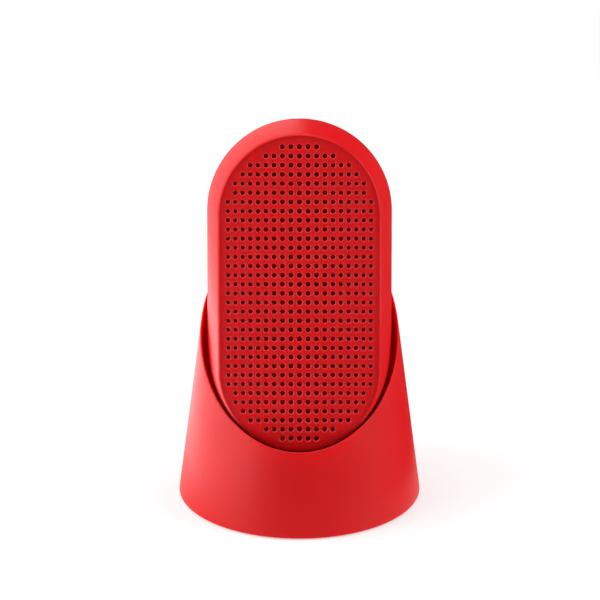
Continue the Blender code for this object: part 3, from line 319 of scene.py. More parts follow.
# %% Directions and places
PANEL_THICKNESS = 1.2 * MM
lift = next(joint for joint in frame["joints"] if joint["name"] == "speaker_lift")
ACROSS = np.array((1.0, 0.0, 0.0))
UPWARD = np.array(lift["axis"], float)
INWARD = np.array((0.0, UPWARD[2], -UPWARD[1]))


def middle_of(node):
    """Centre of a solid's box."""
    low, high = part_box(node)
    return (np.array(low) + np.array(high)) / 2


FACE = middle_of("front_grille") - INWARD * PANEL_THICKNESS / 2


def in_world(x, depth, v):
    """World places: the front's middle plus x across, depth inward and v upward, for whole arrays."""
    x, depth, v = np.broadcast_arrays(x, depth, v)
    return FACE + x[..., None] * ACROSS + depth[..., None] * INWARD + v[..., None] * UPWARD


def across_and_up(node):
    """A solid's middle as (x, v) in the speaker's frame."""
    offset = middle_of(node) - FACE
    return float(offset @ ACROSS), float(offset @ UPWARD)


print("front's middle in mm:", np.round(FACE / MM, 2))

# %% [markdown]
# ## Grids that become meshes
# Every smooth piece here is a grid of points, computed as one array. The helper joins neighbouring points
# into four-cornered faces, welds the rows that meet, points all faces outwards and shades the result
# smooth except at real edges. Modelling by hand would do as well, but a formula can be changed without
# starting again.

# %% From arrays to a piece
WELD = 0.0005 * MM
CREASE = math.radians(35)
new_slots = {}


def grid_quads(rows, columns, wrap_rows=False, wrap_columns=False):
    """Corner numbers of each cell of a grid that is stored row after row."""
    number = np.arange(rows * columns).reshape(rows, columns)
    if wrap_rows:
        number = np.vstack((number, number[:1]))
    if wrap_columns:
        number = np.hstack((number, number[:, :1]))
    return np.stack((number[:-1, :-1], number[:-1, 1:], number[1:, 1:], number[1:, :-1]), -1).reshape(-1, 4)


def closed_mesh(name, points, faces):
    """A closed mesh from points and lists of corner numbers: doubles welded, faces outwards."""
    mesh = bpy.data.meshes.new(name)
    mesh.from_pydata(points.reshape(-1, 3).tolist(), [], list(map(list, faces)))
    work = bmesh.new()
    work.from_mesh(mesh)
    bmesh.ops.remove_doubles(work, verts=work.verts, dist=WELD)
    bmesh.ops.recalc_face_normals(work, faces=work.faces)
    work.to_mesh(mesh)
    work.free()
    return mesh


def grid_mesh(name, points, wrap_rows=False):
    """A closed mesh from a grid of places whose rows are rings."""
    return closed_mesh(name, points, grid_quads(*points.shape[:2], wrap_rows, wrap_columns=True))


def add_piece(name, mesh, body, slot, replaced):
    """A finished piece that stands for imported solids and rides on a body, if one is given."""
    mesh.shade_smooth()
    mesh.set_sharp_from_angle(angle=CREASE)
    piece = bpy.data.objects.new(name, mesh)
    scene.collection.objects.link(piece)
    if body:
        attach(piece, body)
    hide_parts(*replaced)
    new_slots[name] = slot
    print(name, "faces:", len(mesh.polygons))
    return piece


# %% [markdown]
# ## Shape of the speaker's body
# Every cross-section of the body is a capsule: two half circles and two straight sides. Its radius grows
# a little from the flat front to the widest belt and then rounds off to the flat back, like a river
# pebble. With the radius and the straight length as functions of depth, front and rear case are two
# stretches of one shape.

# %% Body functions
FACE_STRAIGHT = 20.9 * MM
WALL_START_DEPTH = 0.7 * MM
WALL_START_RADIUS = 21.75 * MM
WALL_BULGE = 0.3 * MM
BELT_DEPTH = 17.0 * MM
BELT_RADIUS = 24.8 * MM
BELT_STRAIGHT = 19.8 * MM
BACK_DEPTH = 29.8 * MM
BACK_RADIUS = 12.5 * MM
BACK_STRAIGHT = 21.5 * MM


def behind_belt(depth):
    """Quarter-ellipse share of the rounded back: 1 at the belt, 0 at the flat back."""
    share = np.clip((depth - BELT_DEPTH) / (BACK_DEPTH - BELT_DEPTH), 0, 1)
    return np.sqrt(1 - share ** 2)


def body_radius(depth):
    """Capsule radius: a straight draft plus a small parabola to the belt, then a quarter ellipse."""
    depth = np.asarray(depth, float)
    share = (depth - WALL_START_DEPTH) / (BELT_DEPTH - WALL_START_DEPTH)
    wall = WALL_START_RADIUS + (BELT_RADIUS - WALL_START_RADIUS) * share
    wall = wall + 4 * WALL_BULGE * share * (1 - share)
    back = BACK_RADIUS + (BELT_RADIUS - BACK_RADIUS) * behind_belt(depth)
    return np.where(depth < BELT_DEPTH, wall, back)


def body_straight(depth):
    """Half length of the straight sides: linear to the belt, then following the rounded back."""
    depth = np.asarray(depth, float)
    wall = FACE_STRAIGHT + (BELT_STRAIGHT - FACE_STRAIGHT) * np.clip(depth, 0, None) / BELT_DEPTH
    back = BACK_STRAIGHT + (BELT_STRAIGHT - BACK_STRAIGHT) * behind_belt(depth)
    return np.where(depth < BELT_DEPTH, wall, back)


# %% Capsule rings
ARC_STEPS = 64
SIDE_STEPS = 12
half_turn = np.linspace(0, math.pi, ARC_STEPS + 1)
side = np.linspace(1, -1, SIDE_STEPS + 1)[1:-1]
RING_ANGLE = np.concatenate((
    half_turn, np.full(side.shape, math.pi), half_turn + math.pi, np.full(side.shape, 2 * math.pi)))
RING_END = np.concatenate((np.ones(ARC_STEPS + 1), side, -np.ones(ARC_STEPS + 1), -side))


def capsule_rows(radius, straight, depth):
    """Rows of capsules: x = radius cos a and v = end straight + radius sin a, around each ring."""
    radius, straight, depth = (np.asarray(row, float)[:, None] for row in (radius, straight, depth))
    x = radius * np.cos(RING_ANGLE)
    v = RING_END * straight + radius * np.sin(RING_ANGLE)
    return in_world(x, depth, v)


print("ring points:", RING_ANGLE.size)

# %% [markdown]
# ## Front case
# The front case is the tall band around the perforated front. Its front edge is softly rounded and runs
# into the face without a joint that shows. The section is drawn once: a curved edge, the drafted wall, a
# small round at the seam and the inside wall back to the front. Carried around the capsule, it closes
# into a ring.

# %% Front case
EDGE_START = 20.9 * MM
EDGE_FLAT = 0.15 * MM
EDGE_DEPTH = 1.1 * MM
FRONT_END = 16.8 * MM
SEAM_ROUND = 0.2 * MM
CASE_WALL = 2.0 * MM
INSIDE_START = 1.6 * MM
SLOPE_STEP = 0.01 * MM
EDGE_STEPS = 16
WALL_STEPS = 18
SEAM_STEPS = 5
INSIDE_STEPS = 8


def bend(start, corner, end, steps):
    """Curve that leaves start towards corner and reaches end from corner, as (radius, depth) rows."""
    t = np.linspace(0, 1, steps)[:, None]
    points = [np.array(point) for point in (start, corner, end)]
    return (1 - t) ** 2 * points[0] + 2 * t * (1 - t) * points[1] + t ** 2 * points[2]


def wall_rows(depths, inset):
    """(radius, depth) rows along the outside wall, drawn in by an inset."""
    return np.column_stack((body_radius(depths) - inset, depths))


edge_radius = float(body_radius(EDGE_DEPTH))
edge_slope = float(body_radius(EDGE_DEPTH + SLOPE_STEP) - edge_radius) / SLOPE_STEP
seam_radius = float(body_radius(FRONT_END))
front_section = np.vstack((
    [(EDGE_START, 0)],
    bend((EDGE_START + EDGE_FLAT, 0), (edge_radius - edge_slope * EDGE_DEPTH, 0),
         (edge_radius, EDGE_DEPTH), EDGE_STEPS),
    wall_rows(np.linspace(EDGE_DEPTH, FRONT_END - SEAM_ROUND, WALL_STEPS)[1:-1], 0),
    bend((float(body_radius(FRONT_END - SEAM_ROUND)), FRONT_END - SEAM_ROUND), (seam_radius, FRONT_END),
         (seam_radius - SEAM_ROUND, FRONT_END), SEAM_STEPS),
    wall_rows(np.linspace(FRONT_END, INSIDE_START, INSIDE_STEPS), CASE_WALL),
    [(EDGE_START, INSIDE_START)]))
front_rows = capsule_rows(front_section[:, 0], body_straight(front_section[:, 1]), front_section[:, 1])
front_mesh = grid_mesh("front_case", front_rows, wrap_rows=True)
add_piece("front_case", front_mesh, "speaker", "red_plastic", ["front_shell"])

# %% [markdown]
# ## Perforated face
# The flat front is a moulded panel with rows of small round holes. The columns close up and the holes
# shrink a little towards the sides. Cutting each hole with a Boolean would leave long thin faces. Here
# each hole gets a square cell of its own: a ring of faces from the cell to the hole, a rounded lip and a
# short wall. The cells fit together like tiles, and a last strip joins their stepped outline to the edge
# of the panel. A value stored on the lips lets their finish differ from the rest.

# %% Places of the holes
ROW_PITCH = 2.441 * MM
COLUMN_PITCH = 2.277 * MM
COLUMN_CREEP = 0.045 * MM
HOLE_RADIUS = 0.70 * MM
HOLE_LOSS = 0.0165 * MM
FIELD_RADIUS = 19.5 * MM
FIELD_STRAIGHT = 20.4 * MM
SIDE_COLUMNS = 9
END_ROWS = 16

column = np.arange(-SIDE_COLUMNS, SIDE_COLUMNS + 1)
row = np.arange(-END_ROWS, END_ROWS + 1)
column_count = np.abs(column)
column_x = np.sign(column) * (
    column_count * COLUMN_PITCH - COLUMN_CREEP * column_count * (column_count - 1) / 2)
column_edge = np.concatenate((
    [1.5 * column_x[0] - 0.5 * column_x[1]], (column_x[1:] + column_x[:-1]) / 2,
    [1.5 * column_x[-1] - 0.5 * column_x[-2]]))
hole_column, hole_row = np.meshgrid(np.arange(column.size), row, indexing="ij")
past_straight = np.clip(np.abs(hole_row * ROW_PITCH) - FIELD_STRAIGHT, 0, None)
kept = np.hypot(column_x[hole_column], past_straight) <= FIELD_RADIUS
hole_column = hole_column[kept]
hole_v = hole_row[kept] * ROW_PITCH
hole_x = column_x[hole_column]
hole_radius = HOLE_RADIUS - HOLE_LOSS * column_count[hole_column]
print("holes:", hole_x.size)

# %% Cells around the holes
LIP_ROUND = 0.26 * MM
LIP_STEPS = 4
CELL_STEPS = 16
cell_angle = np.arange(CELL_STEPS) * 2 * math.pi / CELL_STEPS
circle = np.stack((np.cos(cell_angle), np.sin(cell_angle)))
square = np.round(circle / np.abs(circle).max(0) * 2) / 2


def hole_ring(growth, depth):
    """Circles about all holes, grown beyond the hole's own radius: holes x steps x 3 places."""
    radius = (hole_radius + growth)[:, None]
    return in_world(hole_x[:, None] + radius * circle[0], depth, hole_v[:, None] + radius * circle[1])


def cell_ring(depth):
    """Square cells about all holes, reaching half-way to the neighbours on each side."""
    to_left = (hole_x - column_edge[hole_column])[:, None]
    to_right = (column_edge[hole_column + 1] - hole_x)[:, None]
    x = hole_x[:, None] + np.where(square[0] > 0, square[0] * to_right, square[0] * to_left)
    return in_world(x, depth, hole_v[:, None] + square[1] * ROW_PITCH / 2), x


lip_turn = np.linspace(0, math.pi / 2, LIP_STEPS)
front_cells, cell_x = cell_ring(0.0)
back_cells, _ = cell_ring(PANEL_THICKNESS)
lip = [hole_ring(LIP_ROUND * (1 - math.sin(turn)), LIP_ROUND * (1 - math.cos(turn)))
       for turn in lip_turn]
hole_levels = np.stack((front_cells, *lip, hole_ring(0.0, PANEL_THICKNESS), back_cells), 1)
levels = hole_levels.shape[1]
one_hole = grid_quads(levels, CELL_STEPS, wrap_columns=True)
all_holes = (np.arange(hole_x.size)[:, None, None] * levels * CELL_STEPS + one_hole).reshape(-1, 4)
print("faces around one hole:", len(one_hole))

# %% Strip from the stepped outline to the panel's edge
SAME_EDGE = 0.02 * MM
LIP_BAND = (0.1 * LIP_ROUND, 0.6 * LIP_ROUND)

cell_v = hole_v[:, None] + square[1] * ROW_PITCH / 2
start = np.stack((cell_x, cell_v), -1).reshape(-1, 2)
end = np.roll(np.stack((cell_x, cell_v), -1), -1, axis=1).reshape(-1, 2)
middle_key = np.round((start + end) / 2 / SAME_EDGE).astype(int)
_, first_seen, shared = np.unique(middle_key, axis=0, return_index=True, return_counts=True)
rim_edge = first_seen[shared == 1]
print("outline edges:", rim_edge.size)


def to_edge(points):
    """Points pushed straight out from the capsule's middle line to the panel's edge."""
    middle = np.clip(points[:, 1], -FACE_STRAIGHT, FACE_STRAIGHT)
    reach = np.stack((points[:, 0], points[:, 1] - middle), -1)
    reach = reach / np.linalg.norm(reach, axis=1)[:, None] * EDGE_START
    return np.stack((reach[:, 0], reach[:, 1] + middle), -1)


strip = np.stack((start[rim_edge], to_edge(start[rim_edge]), to_edge(end[rim_edge]), end[rim_edge]), 1)
front_strip = in_world(strip[..., 0], 0.0, strip[..., 1])
back_strip = in_world(strip[..., 0], PANEL_THICKNESS, strip[..., 1])
side_strip = np.stack((front_strip[:, 1], back_strip[:, 1], back_strip[:, 2], front_strip[:, 2]), 1)
strips = np.concatenate((front_strip, back_strip, side_strip))
face_points = np.concatenate((hole_levels.reshape(-1, 3), strips.reshape(-1, 3)))
strip_quads = np.arange(len(strips) * 4).reshape(-1, 4) + hole_levels.size // 3
face_mesh = closed_mesh("speaker_face", face_points, np.concatenate((all_holes, strip_quads)))
face_depth = (np.array([vertex.co[:] for vertex in face_mesh.vertices]) - FACE) @ INWARD
# The lip value places the lips' coat and their painted highlight colour.
on_lip = (face_depth > LIP_BAND[0]) & (face_depth < LIP_BAND[1])
face_mesh.attributes.new("lip", "FLOAT", "POINT").data.foreach_set("value", on_lip.astype(np.float32))
add_piece("speaker_face", face_mesh, "speaker", "red_plastic", ["front_grille"])

# %% [markdown]
# ## Rear case
# The back does not show in the picture, so it follows what such a speaker has: a pebble-round shell with
# three keys, a charge light, a charging socket and four screws in deep wells. The shell is one grid of
# capsules, outside and inside. The openings cross that grid at odd places, so here Booleans are the
# better tool: they add the posts that carry the screws and cut wells and openings with softened mouths.

# %% Rear shell as one grid
REAR_START = 17.2 * MM
BACK_WALL = 1.6 * MM
INNER_BACK_RADIUS = BACK_RADIUS - BACK_WALL / 2
BACK_INSIDE = BACK_DEPTH - BACK_WALL
SEAM_CORNER = 0.3 * SEAM_ROUND
OUTER_STEPS = 40
INNER_STEPS = 16
OUTER_FLAT_STEPS = 8
INNER_FLAT_STEPS = 4


def quarter_rows(radius_back, radius_belt, depth_back, depth_belt, start, steps):
    """Quarter ellipse from near the belt to the flat back, as (radius, straight, depth) rows."""
    turn = np.linspace(start, math.pi / 2, steps)
    radius = radius_back + (radius_belt - radius_back) * np.cos(turn)
    straight = BACK_STRAIGHT + (BELT_STRAIGHT - BACK_STRAIGHT) * np.cos(turn)
    return np.column_stack((radius, straight, depth_belt + (depth_back - depth_belt) * np.sin(turn)))


def flat_rows(radius, depth, steps):
    """Shrinking capsules on the flat back, down to the middle line, as (radius, straight, depth) rows."""
    radii = np.linspace(radius, 0, steps)[1:]
    return np.column_stack((radii, np.full(radii.shape, BACK_STRAIGHT), np.full(radii.shape, depth)))


seam_turn = math.asin((REAR_START + SEAM_ROUND - BELT_DEPTH) / (BACK_DEPTH - BELT_DEPTH))
outer_rows = quarter_rows(BACK_RADIUS, BELT_RADIUS, BACK_DEPTH, BELT_DEPTH, seam_turn, OUTER_STEPS)
inner_rows = quarter_rows(INNER_BACK_RADIUS, BELT_RADIUS - CASE_WALL, BACK_INSIDE, REAR_START, 0.0,
                          INNER_STEPS)
seam_rows = np.array([(outer_rows[0, 0] - SEAM_ROUND, BELT_STRAIGHT, REAR_START),
                      (outer_rows[0, 0] - SEAM_CORNER, BELT_STRAIGHT, REAR_START + SEAM_CORNER)])
rear_section = np.vstack((
    flat_rows(INNER_BACK_RADIUS, BACK_INSIDE, INNER_FLAT_STEPS)[::-1], inner_rows[::-1], seam_rows,
    outer_rows, flat_rows(BACK_RADIUS, BACK_DEPTH, OUTER_FLAT_STEPS)))
rear_rows = capsule_rows(*rear_section.T)
rear_mesh = grid_mesh("rear_case", rear_rows)
print("rear shell faces:", len(rear_mesh.polygons))

# %% Round bars for posts and openings
FINE_STEPS = 48


def turned_mesh(name, section, x, v):
    """A section of (radius, depth) rows turned about a line that runs inward at (x, v)."""
    section = np.asarray(section, float)
    angle = np.arange(FINE_STEPS) * 2 * math.pi / FINE_STEPS
    radius = section[:, :1]
    points = in_world(x + radius * np.cos(angle), section[:, 1:], v + radius * np.sin(angle))
    return grid_mesh(name, points)


def bar(x, v, radius, start, end):
    """A plain round bar from one depth to another."""
    return turned_mesh("bar", [(0, start), (radius, start), (radius, end), (0, end)], x, v)


def carve(mesh, steps):
    """Apply Booleans one after another, and give back the mesh that results."""
    work = bpy.data.objects.new("work", mesh)
    scene.collection.objects.link(work)
    tools = []
    for operation, tool_mesh in steps:
        tool = bpy.data.objects.new("tool", tool_mesh)
        scene.collection.objects.link(tool)
        modifier = work.modifiers.new("step", "BOOLEAN")
        modifier.operation = operation
        modifier.solver = "MANIFOLD"
        modifier.object = tool
        tools.append(tool)
    graph = bpy.context.evaluated_depsgraph_get()
    result = bpy.data.meshes.new_from_object(work.evaluated_get(graph))
    for helper in [work] + tools:
        bpy.data.objects.remove(helper)
    return result


# %% Posts, wells and openings
POST_RADIUS = 3.0 * MM
POST_START = 12.1 * MM
WELL_FLOOR = 13.5 * MM
WELL_RADIUS = 1.9 * MM
SHANK_HOLE = 1.1 * MM
KEY_HOLE = 2.9 * MM
LIGHT_HOLE = 1.2 * MM
MOUTH_ROUND = 0.3 * MM
MOUTH_OVER = 0.03 * MM
MOUTH_STEPS = 7
TRIM_STEPS = 24
BEYOND = BACK_DEPTH + 2 * MM

trim_rows = np.vstack((
    [(BELT_RADIUS - CASE_WALL / 2, BELT_STRAIGHT, POST_START - MM)],
    quarter_rows(BACK_RADIUS - CASE_WALL / 2, BELT_RADIUS - CASE_WALL / 2, BACK_DEPTH - BACK_WALL / 2,
                 BELT_DEPTH, 0.0, TRIM_STEPS),
    flat_rows(BACK_RADIUS - CASE_WALL / 2, BACK_DEPTH - BACK_WALL / 2, INNER_FLAT_STEPS)))
trim_rows = np.vstack((trim_rows[:1] * (0, 1, 1), trim_rows))
trim_points = capsule_rows(*trim_rows.T)
screw_places = [across_and_up(f"case_screw_{number}") for number in range(1, 5)]
key_names = ("minus", "play", "plus")
key_places = {name: across_and_up("button_" + name) for name in key_names}
light_place = across_and_up("light_pipe")
socket_place = across_and_up("usb_socket")

steps = []
for x, v in screw_places:
    post = carve(bar(x, v, POST_RADIUS, POST_START, BEYOND),
                 [("INTERSECT", grid_mesh("trim", trim_points))])
    steps.append(("UNION", post))
for x, v in screw_places:
    steps.append(("DIFFERENCE", bar(x, v, WELL_RADIUS, WELL_FLOOR, BEYOND)))
    steps.append(("DIFFERENCE", bar(x, v, SHANK_HOLE, POST_START - MM, WELL_FLOOR + MM)))


def mouth_section(radius):
    """(radius, depth) rows of an opening: straight through the wall, then flared by a quarter circle."""
    turn = np.linspace(0, math.pi / 2, MOUTH_STEPS)
    flare = np.column_stack((radius + MOUTH_ROUND * (1 - np.cos(turn)),
                             BACK_DEPTH + MOUTH_OVER - MOUTH_ROUND * (1 - np.sin(turn))))
    return np.vstack(([(0, BACK_INSIDE - BACK_WALL), (radius, BACK_INSIDE - BACK_WALL)], flare,
                      [(radius + MOUTH_ROUND, BEYOND), (0, BEYOND)]))


for x, v in key_places.values():
    steps.append(("DIFFERENCE", turned_mesh("mouth", mouth_section(KEY_HOLE), x, v)))
steps.append(("DIFFERENCE", turned_mesh("mouth", mouth_section(LIGHT_HOLE), *light_place)))
print("screws at mm:", [(round(x / MM, 1), round(v / MM, 1)) for x, v in screw_places])

# %% Socket opening, and the rear case
SOCKET_RADIUS = 1.7 * MM
SOCKET_STRAIGHT = 2.9 * MM
SOCKET_ROOM = 0.3 * MM


def slot_rows(radius, depth):
    """Rows of lying capsules about the socket: the upright ring with across and up swapped."""
    radius, depth = (np.asarray(row, float)[:, None] for row in (radius, depth))
    along = RING_END * SOCKET_STRAIGHT + radius * np.sin(RING_ANGLE)
    along = np.where(radius > 0, along, RING_END * SOCKET_STRAIGHT)
    return in_world(socket_place[0] + along, depth, socket_place[1] + radius * np.cos(RING_ANGLE))


slot_section = mouth_section(SOCKET_RADIUS + SOCKET_ROOM)
steps.append(("DIFFERENCE", grid_mesh("slot", slot_rows(*slot_section.T))))
add_piece("rear_case", carve(rear_mesh, steps), "speaker", "red_plastic", ["rear_shell"])

# %% [markdown]
# ## Keys, light and socket
# Each key is a round button with a slightly domed top, a collar that keeps it in the case and a stem that
# reaches its switch. A raised plus, minus or triangle says what it does. All are turned shapes with small
# outlines pushed up from their tops. The charge light is a clear rod, and the socket a plated shell with
# a tongue.

# %% Keys
KEY_RADIUS = 2.6 * MM
KEY_TOP = BACK_DEPTH + 0.45 * MM
KEY_DOME = 0.12 * MM
KEY_ROUND = 0.35 * MM
COLLAR_RADIUS = 3.4 * MM
COLLAR_DEPTHS = (27.4 * MM, 27.9 * MM)
STEM_RADIUS = 1.2 * MM
STEM_END = 26.7 * MM
MARK_RISE = 0.15 * MM
MARK_HALF = 1.2 * MM
MARK_THIN = 0.2 * MM
SHOULDER_STEPS = 7
DOME_STEPS = 8

turn = np.linspace(0, math.pi / 2, SHOULDER_STEPS)
shoulder = np.column_stack((KEY_RADIUS - KEY_ROUND * (1 - np.cos(turn)),
                            KEY_TOP - KEY_ROUND * (1 - np.sin(turn))))
dome_radius = np.linspace(KEY_RADIUS - KEY_ROUND, 0, DOME_STEPS)[1:]
dome = np.column_stack((dome_radius, KEY_TOP + KEY_DOME * (1 - (dome_radius / KEY_RADIUS) ** 2)))
key_section = np.vstack((
    [(0, STEM_END), (STEM_RADIUS, STEM_END), (STEM_RADIUS, COLLAR_DEPTHS[0]),
     (COLLAR_RADIUS, COLLAR_DEPTHS[0]), (COLLAR_RADIUS, COLLAR_DEPTHS[1]), (KEY_RADIUS, COLLAR_DEPTHS[1])],
    shoulder, dome))
bar_mark = np.array([(-MARK_HALF, -MARK_THIN), (MARK_HALF, -MARK_THIN), (MARK_HALF, MARK_THIN),
                     (-MARK_HALF, MARK_THIN)])
plus_mark = np.array([(-1, -6), (1, -6), (1, -1), (6, -1), (6, 1), (1, 1), (1, 6), (-1, 6), (-1, 1), (-6, 1),
                      (-6, -1), (-1, -1)]) * MARK_THIN
play_mark = np.array([(0.9, -1.0), (0.9, 1.0), (-1.0, 0.0)]) * MARK_HALF
KEY_MARKS = {"minus": bar_mark, "play": play_mark, "plus": plus_mark}


def raised_mark(outline, x, v):
    """A flat outline pushed up from the key's top: a ring of side faces and two caps."""
    low = in_world(x + outline[:, 0], KEY_TOP - MARK_RISE, v + outline[:, 1])
    high = in_world(x + outline[:, 0], KEY_TOP + KEY_DOME + MARK_RISE, v + outline[:, 1])
    count = len(outline)
    caps = [range(count), range(count, 2 * count)]
    sides = grid_quads(2, count, wrap_columns=True)
    return closed_mesh("mark", np.concatenate((low, high)), [*sides, *caps])


for name in key_names:
    x, v = key_places[name]
    mark = raised_mark(KEY_MARKS[name], x, v)
    key_mesh = carve(turned_mesh("key_" + name, key_section, x, v), [("UNION", mark)])
    add_piece("key_" + name, key_mesh, "button_" + name, "red_plastic", ["button_" + name])

# %% Charge light and socket
PIPE_RADIUS = 0.9 * MM
PIPE_START = 25.3 * MM
PIPE_DOME = 0.1 * MM
PIPE_STEPS = 7
ON_BOARD = 24.3 * MM
SOCKET_WALL = 0.35 * MM
SOCKET_FLOOR = 1.0 * MM
SOCKET_MOUTH = BACK_DEPTH - 0.3 * MM
TONGUE = (2.6 * MM, 0.35 * MM)
TONGUE_SET_BACK = 0.8 * MM

dome_radius = np.linspace(PIPE_RADIUS, 0, PIPE_STEPS)
pipe_dome = np.column_stack((dome_radius, BACK_DEPTH - PIPE_DOME * (dome_radius / PIPE_RADIUS) ** 2))
pipe_section = np.vstack(([(0, PIPE_START), (PIPE_RADIUS, PIPE_START)], pipe_dome))
light_mesh = turned_mesh("light_dome", pipe_section, *light_place)
add_piece("light_dome", light_mesh, "speaker", "clear_plastic", ["light_pipe"])
bore = SOCKET_RADIUS - SOCKET_WALL
socket_section = np.array([
    (0, ON_BOARD + SOCKET_FLOOR), (bore, ON_BOARD + SOCKET_FLOOR), (bore, SOCKET_MOUTH),
    (SOCKET_RADIUS, SOCKET_MOUTH), (SOCKET_RADIUS, ON_BOARD), (0, ON_BOARD)])
socket_mesh = grid_mesh("socket_shell", slot_rows(*socket_section.T))
corner = np.array([(-1, -1), (1, -1), (1, 1), (-1, 1)]) * TONGUE
tongue_depth = np.array((ON_BOARD + SOCKET_FLOOR / 2, SOCKET_MOUTH - TONGUE_SET_BACK))[:, None]
tongue_points = in_world(socket_place[0] + corner[:, 0], tongue_depth, socket_place[1] + corner[:, 1])
tongue_quads = np.vstack((grid_quads(2, 4, wrap_columns=True), [(0, 1, 2, 3), (4, 5, 6, 7)]))
socket_mesh = carve(socket_mesh, [("UNION", closed_mesh("tongue", tongue_points, tongue_quads))])
add_piece("socket_shell", socket_mesh, "speaker", "tin", ["usb_socket"])

# %% [markdown]
# ## Stand
# The stand is a thin-walled cone, cut off at a slant so that it is low in front and high behind. Its rim
# is thinned from the inside and rounded on top. With the height of the slanted cut known for every
# direction, the whole shell is one grid: up the outside, over the rim and down the inside.

# %% Cone shell
CONE_TAPER = 0.1293
RIM_HEIGHT = 49.9 * MM
RIM_SLOPE = 0.859
STAND_WALL = 1.3 * MM
RIM_LAND = 0.45 * MM
RIM_THINNING = 3.5 * MM
FOOT_ROUND = 0.35 * MM
CONE_STEPS = 256
CONE_ROWS = 24
RIM_STEPS = 9
THIN_STEPS = 3
FOOT_STEPS = 4

stand_low, stand_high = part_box("stand_shell")
FOOT_HEIGHT = stand_low[2]
BASE_RADIUS = stand_high[0] + CONE_TAPER * FOOT_HEIGHT
cone_angle = np.arange(CONE_STEPS) * 2 * math.pi / CONE_STEPS
lean = np.sin(cone_angle)
rim_height = (RIM_HEIGHT + RIM_SLOPE * BASE_RADIUS * lean) / (1 + RIM_SLOPE * CONE_TAPER * lean)


def cone_rows(height, inset):
    """Rings on the cone: radius = base radius - taper x height - inset, at each direction's height."""
    height, inset = np.broadcast_arrays(height, inset)
    radius = BASE_RADIUS - CONE_TAPER * height - inset
    return np.stack((radius * np.cos(cone_angle), radius * np.sin(cone_angle), height), -1)


share = np.linspace(0, 1, CONE_ROWS)[:, None]
outside_low = FOOT_HEIGHT + FOOT_ROUND
outside_high = rim_height - RIM_LAND / 2
outside = cone_rows(outside_low + share * (outside_high - outside_low), 0.0)
turn = np.linspace(0, math.pi, RIM_STEPS)[1:-1, None]
over_rim = cone_rows(rim_height - RIM_LAND / 2 * (1 - np.sin(turn)), RIM_LAND / 2 * (1 - np.cos(turn)))
thinning = np.linspace(0, 1, THIN_STEPS)[:, None]
thinned = cone_rows(outside_high - thinning * (RIM_THINNING - RIM_LAND / 2),
                    RIM_LAND + thinning * (STAND_WALL - RIM_LAND))
inside_top = rim_height - RIM_THINNING
inside = cone_rows(FOOT_HEIGHT + (1 - share[1:]) * (inside_top - FOOT_HEIGHT), STAND_WALL)
turn = np.linspace(0, math.pi / 2, FOOT_STEPS)[:-1, None]
foot_height = FOOT_HEIGHT + FOOT_ROUND * (1 - np.cos(turn)) + np.zeros(CONE_STEPS)
foot = cone_rows(foot_height, FOOT_ROUND * (1 - np.sin(turn)))
cone_points = np.concatenate((foot, outside, over_rim, thinned, inside))
cone_mesh = grid_mesh("stand_cone", cone_points, wrap_rows=True)
add_piece("stand_cone", cone_mesh, "stand", "red_plastic", ["stand_shell"])

# %% [markdown]
# ## Cradle
# Inside the cone sits a tray with a hollow that the lower end of the speaker drops into. The hollow has
# the speaker's own shape, grown by half a millimetre. A Boolean would copy every facet, so the tray is
# written as a height map: for each point of the tray, halving steps find the height at which the grown
# body begins.

# %% Height of the speaker's underside
POCKET_ROOM = 0.5 * MM
HALVINGS = 24


def inside_body(x, y, z, growth):
    """True where a point lies in the body grown by growth, with the front drawn out forwards."""
    depth = (y - FACE[1]) * INWARD[1] + (z - FACE[2]) * INWARD[2]
    v = (y - FACE[1]) * UPWARD[1] + (z - FACE[2]) * UPWARD[2]
    held = np.clip(depth, 0, BACK_DEPTH)
    past_end = np.clip(np.abs(v) - body_straight(held), 0, None)
    return (np.hypot(x, past_end) < body_radius(held) + growth) & (depth < BACK_DEPTH + growth)


def underside(x, y, low, high, growth):
    """Lowest height between low and high at which the grown body begins, or high where it does not."""
    bottom = np.full(x.shape, low)
    top = np.full(x.shape, high)
    for _ in range(HALVINGS):
        middle = (bottom + top) / 2
        hit = inside_body(x, y, middle, growth)
        top = np.where(hit, middle, top)
        bottom = np.where(hit, bottom, middle)
    return top


# %% Tray
TRAY_STEPS = 192
TRAY_ROWS = 90
TRAY_ROOM = 0.3 * MM
tray_low, tray_high = (np.array(corner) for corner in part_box("cradle"))
tray_gap = STAND_WALL + TRAY_ROOM
tray_angle = np.arange(TRAY_STEPS) * 2 * math.pi / TRAY_STEPS


def tray_radius(height):
    """Radius of the tray's outside at a height, a little inside the cone's wall."""
    return BASE_RADIUS - CONE_TAPER * height - tray_gap


reach = np.linspace(0, 1, TRAY_ROWS)[:, None] * tray_radius(tray_high[2])
tray_x = reach * np.cos(tray_angle)
tray_y = reach * np.sin(tray_angle)
tray_height = underside(tray_x, tray_y, tray_low[2], tray_high[2], POCKET_ROOM)
tray_top = np.stack((tray_x, tray_y, tray_height), -1)
under_radius = np.array((tray_radius(tray_low[2]), 0.0))[:, None]
tray_under = np.stack((under_radius * np.cos(tray_angle), under_radius * np.sin(tray_angle),
                       np.full((2, TRAY_STEPS), tray_low[2])), -1)
tray_mesh = grid_mesh("cradle_tray", np.concatenate((tray_top, tray_under)))
add_piece("cradle_tray", tray_mesh, "stand", "red_plastic", ["cradle"])

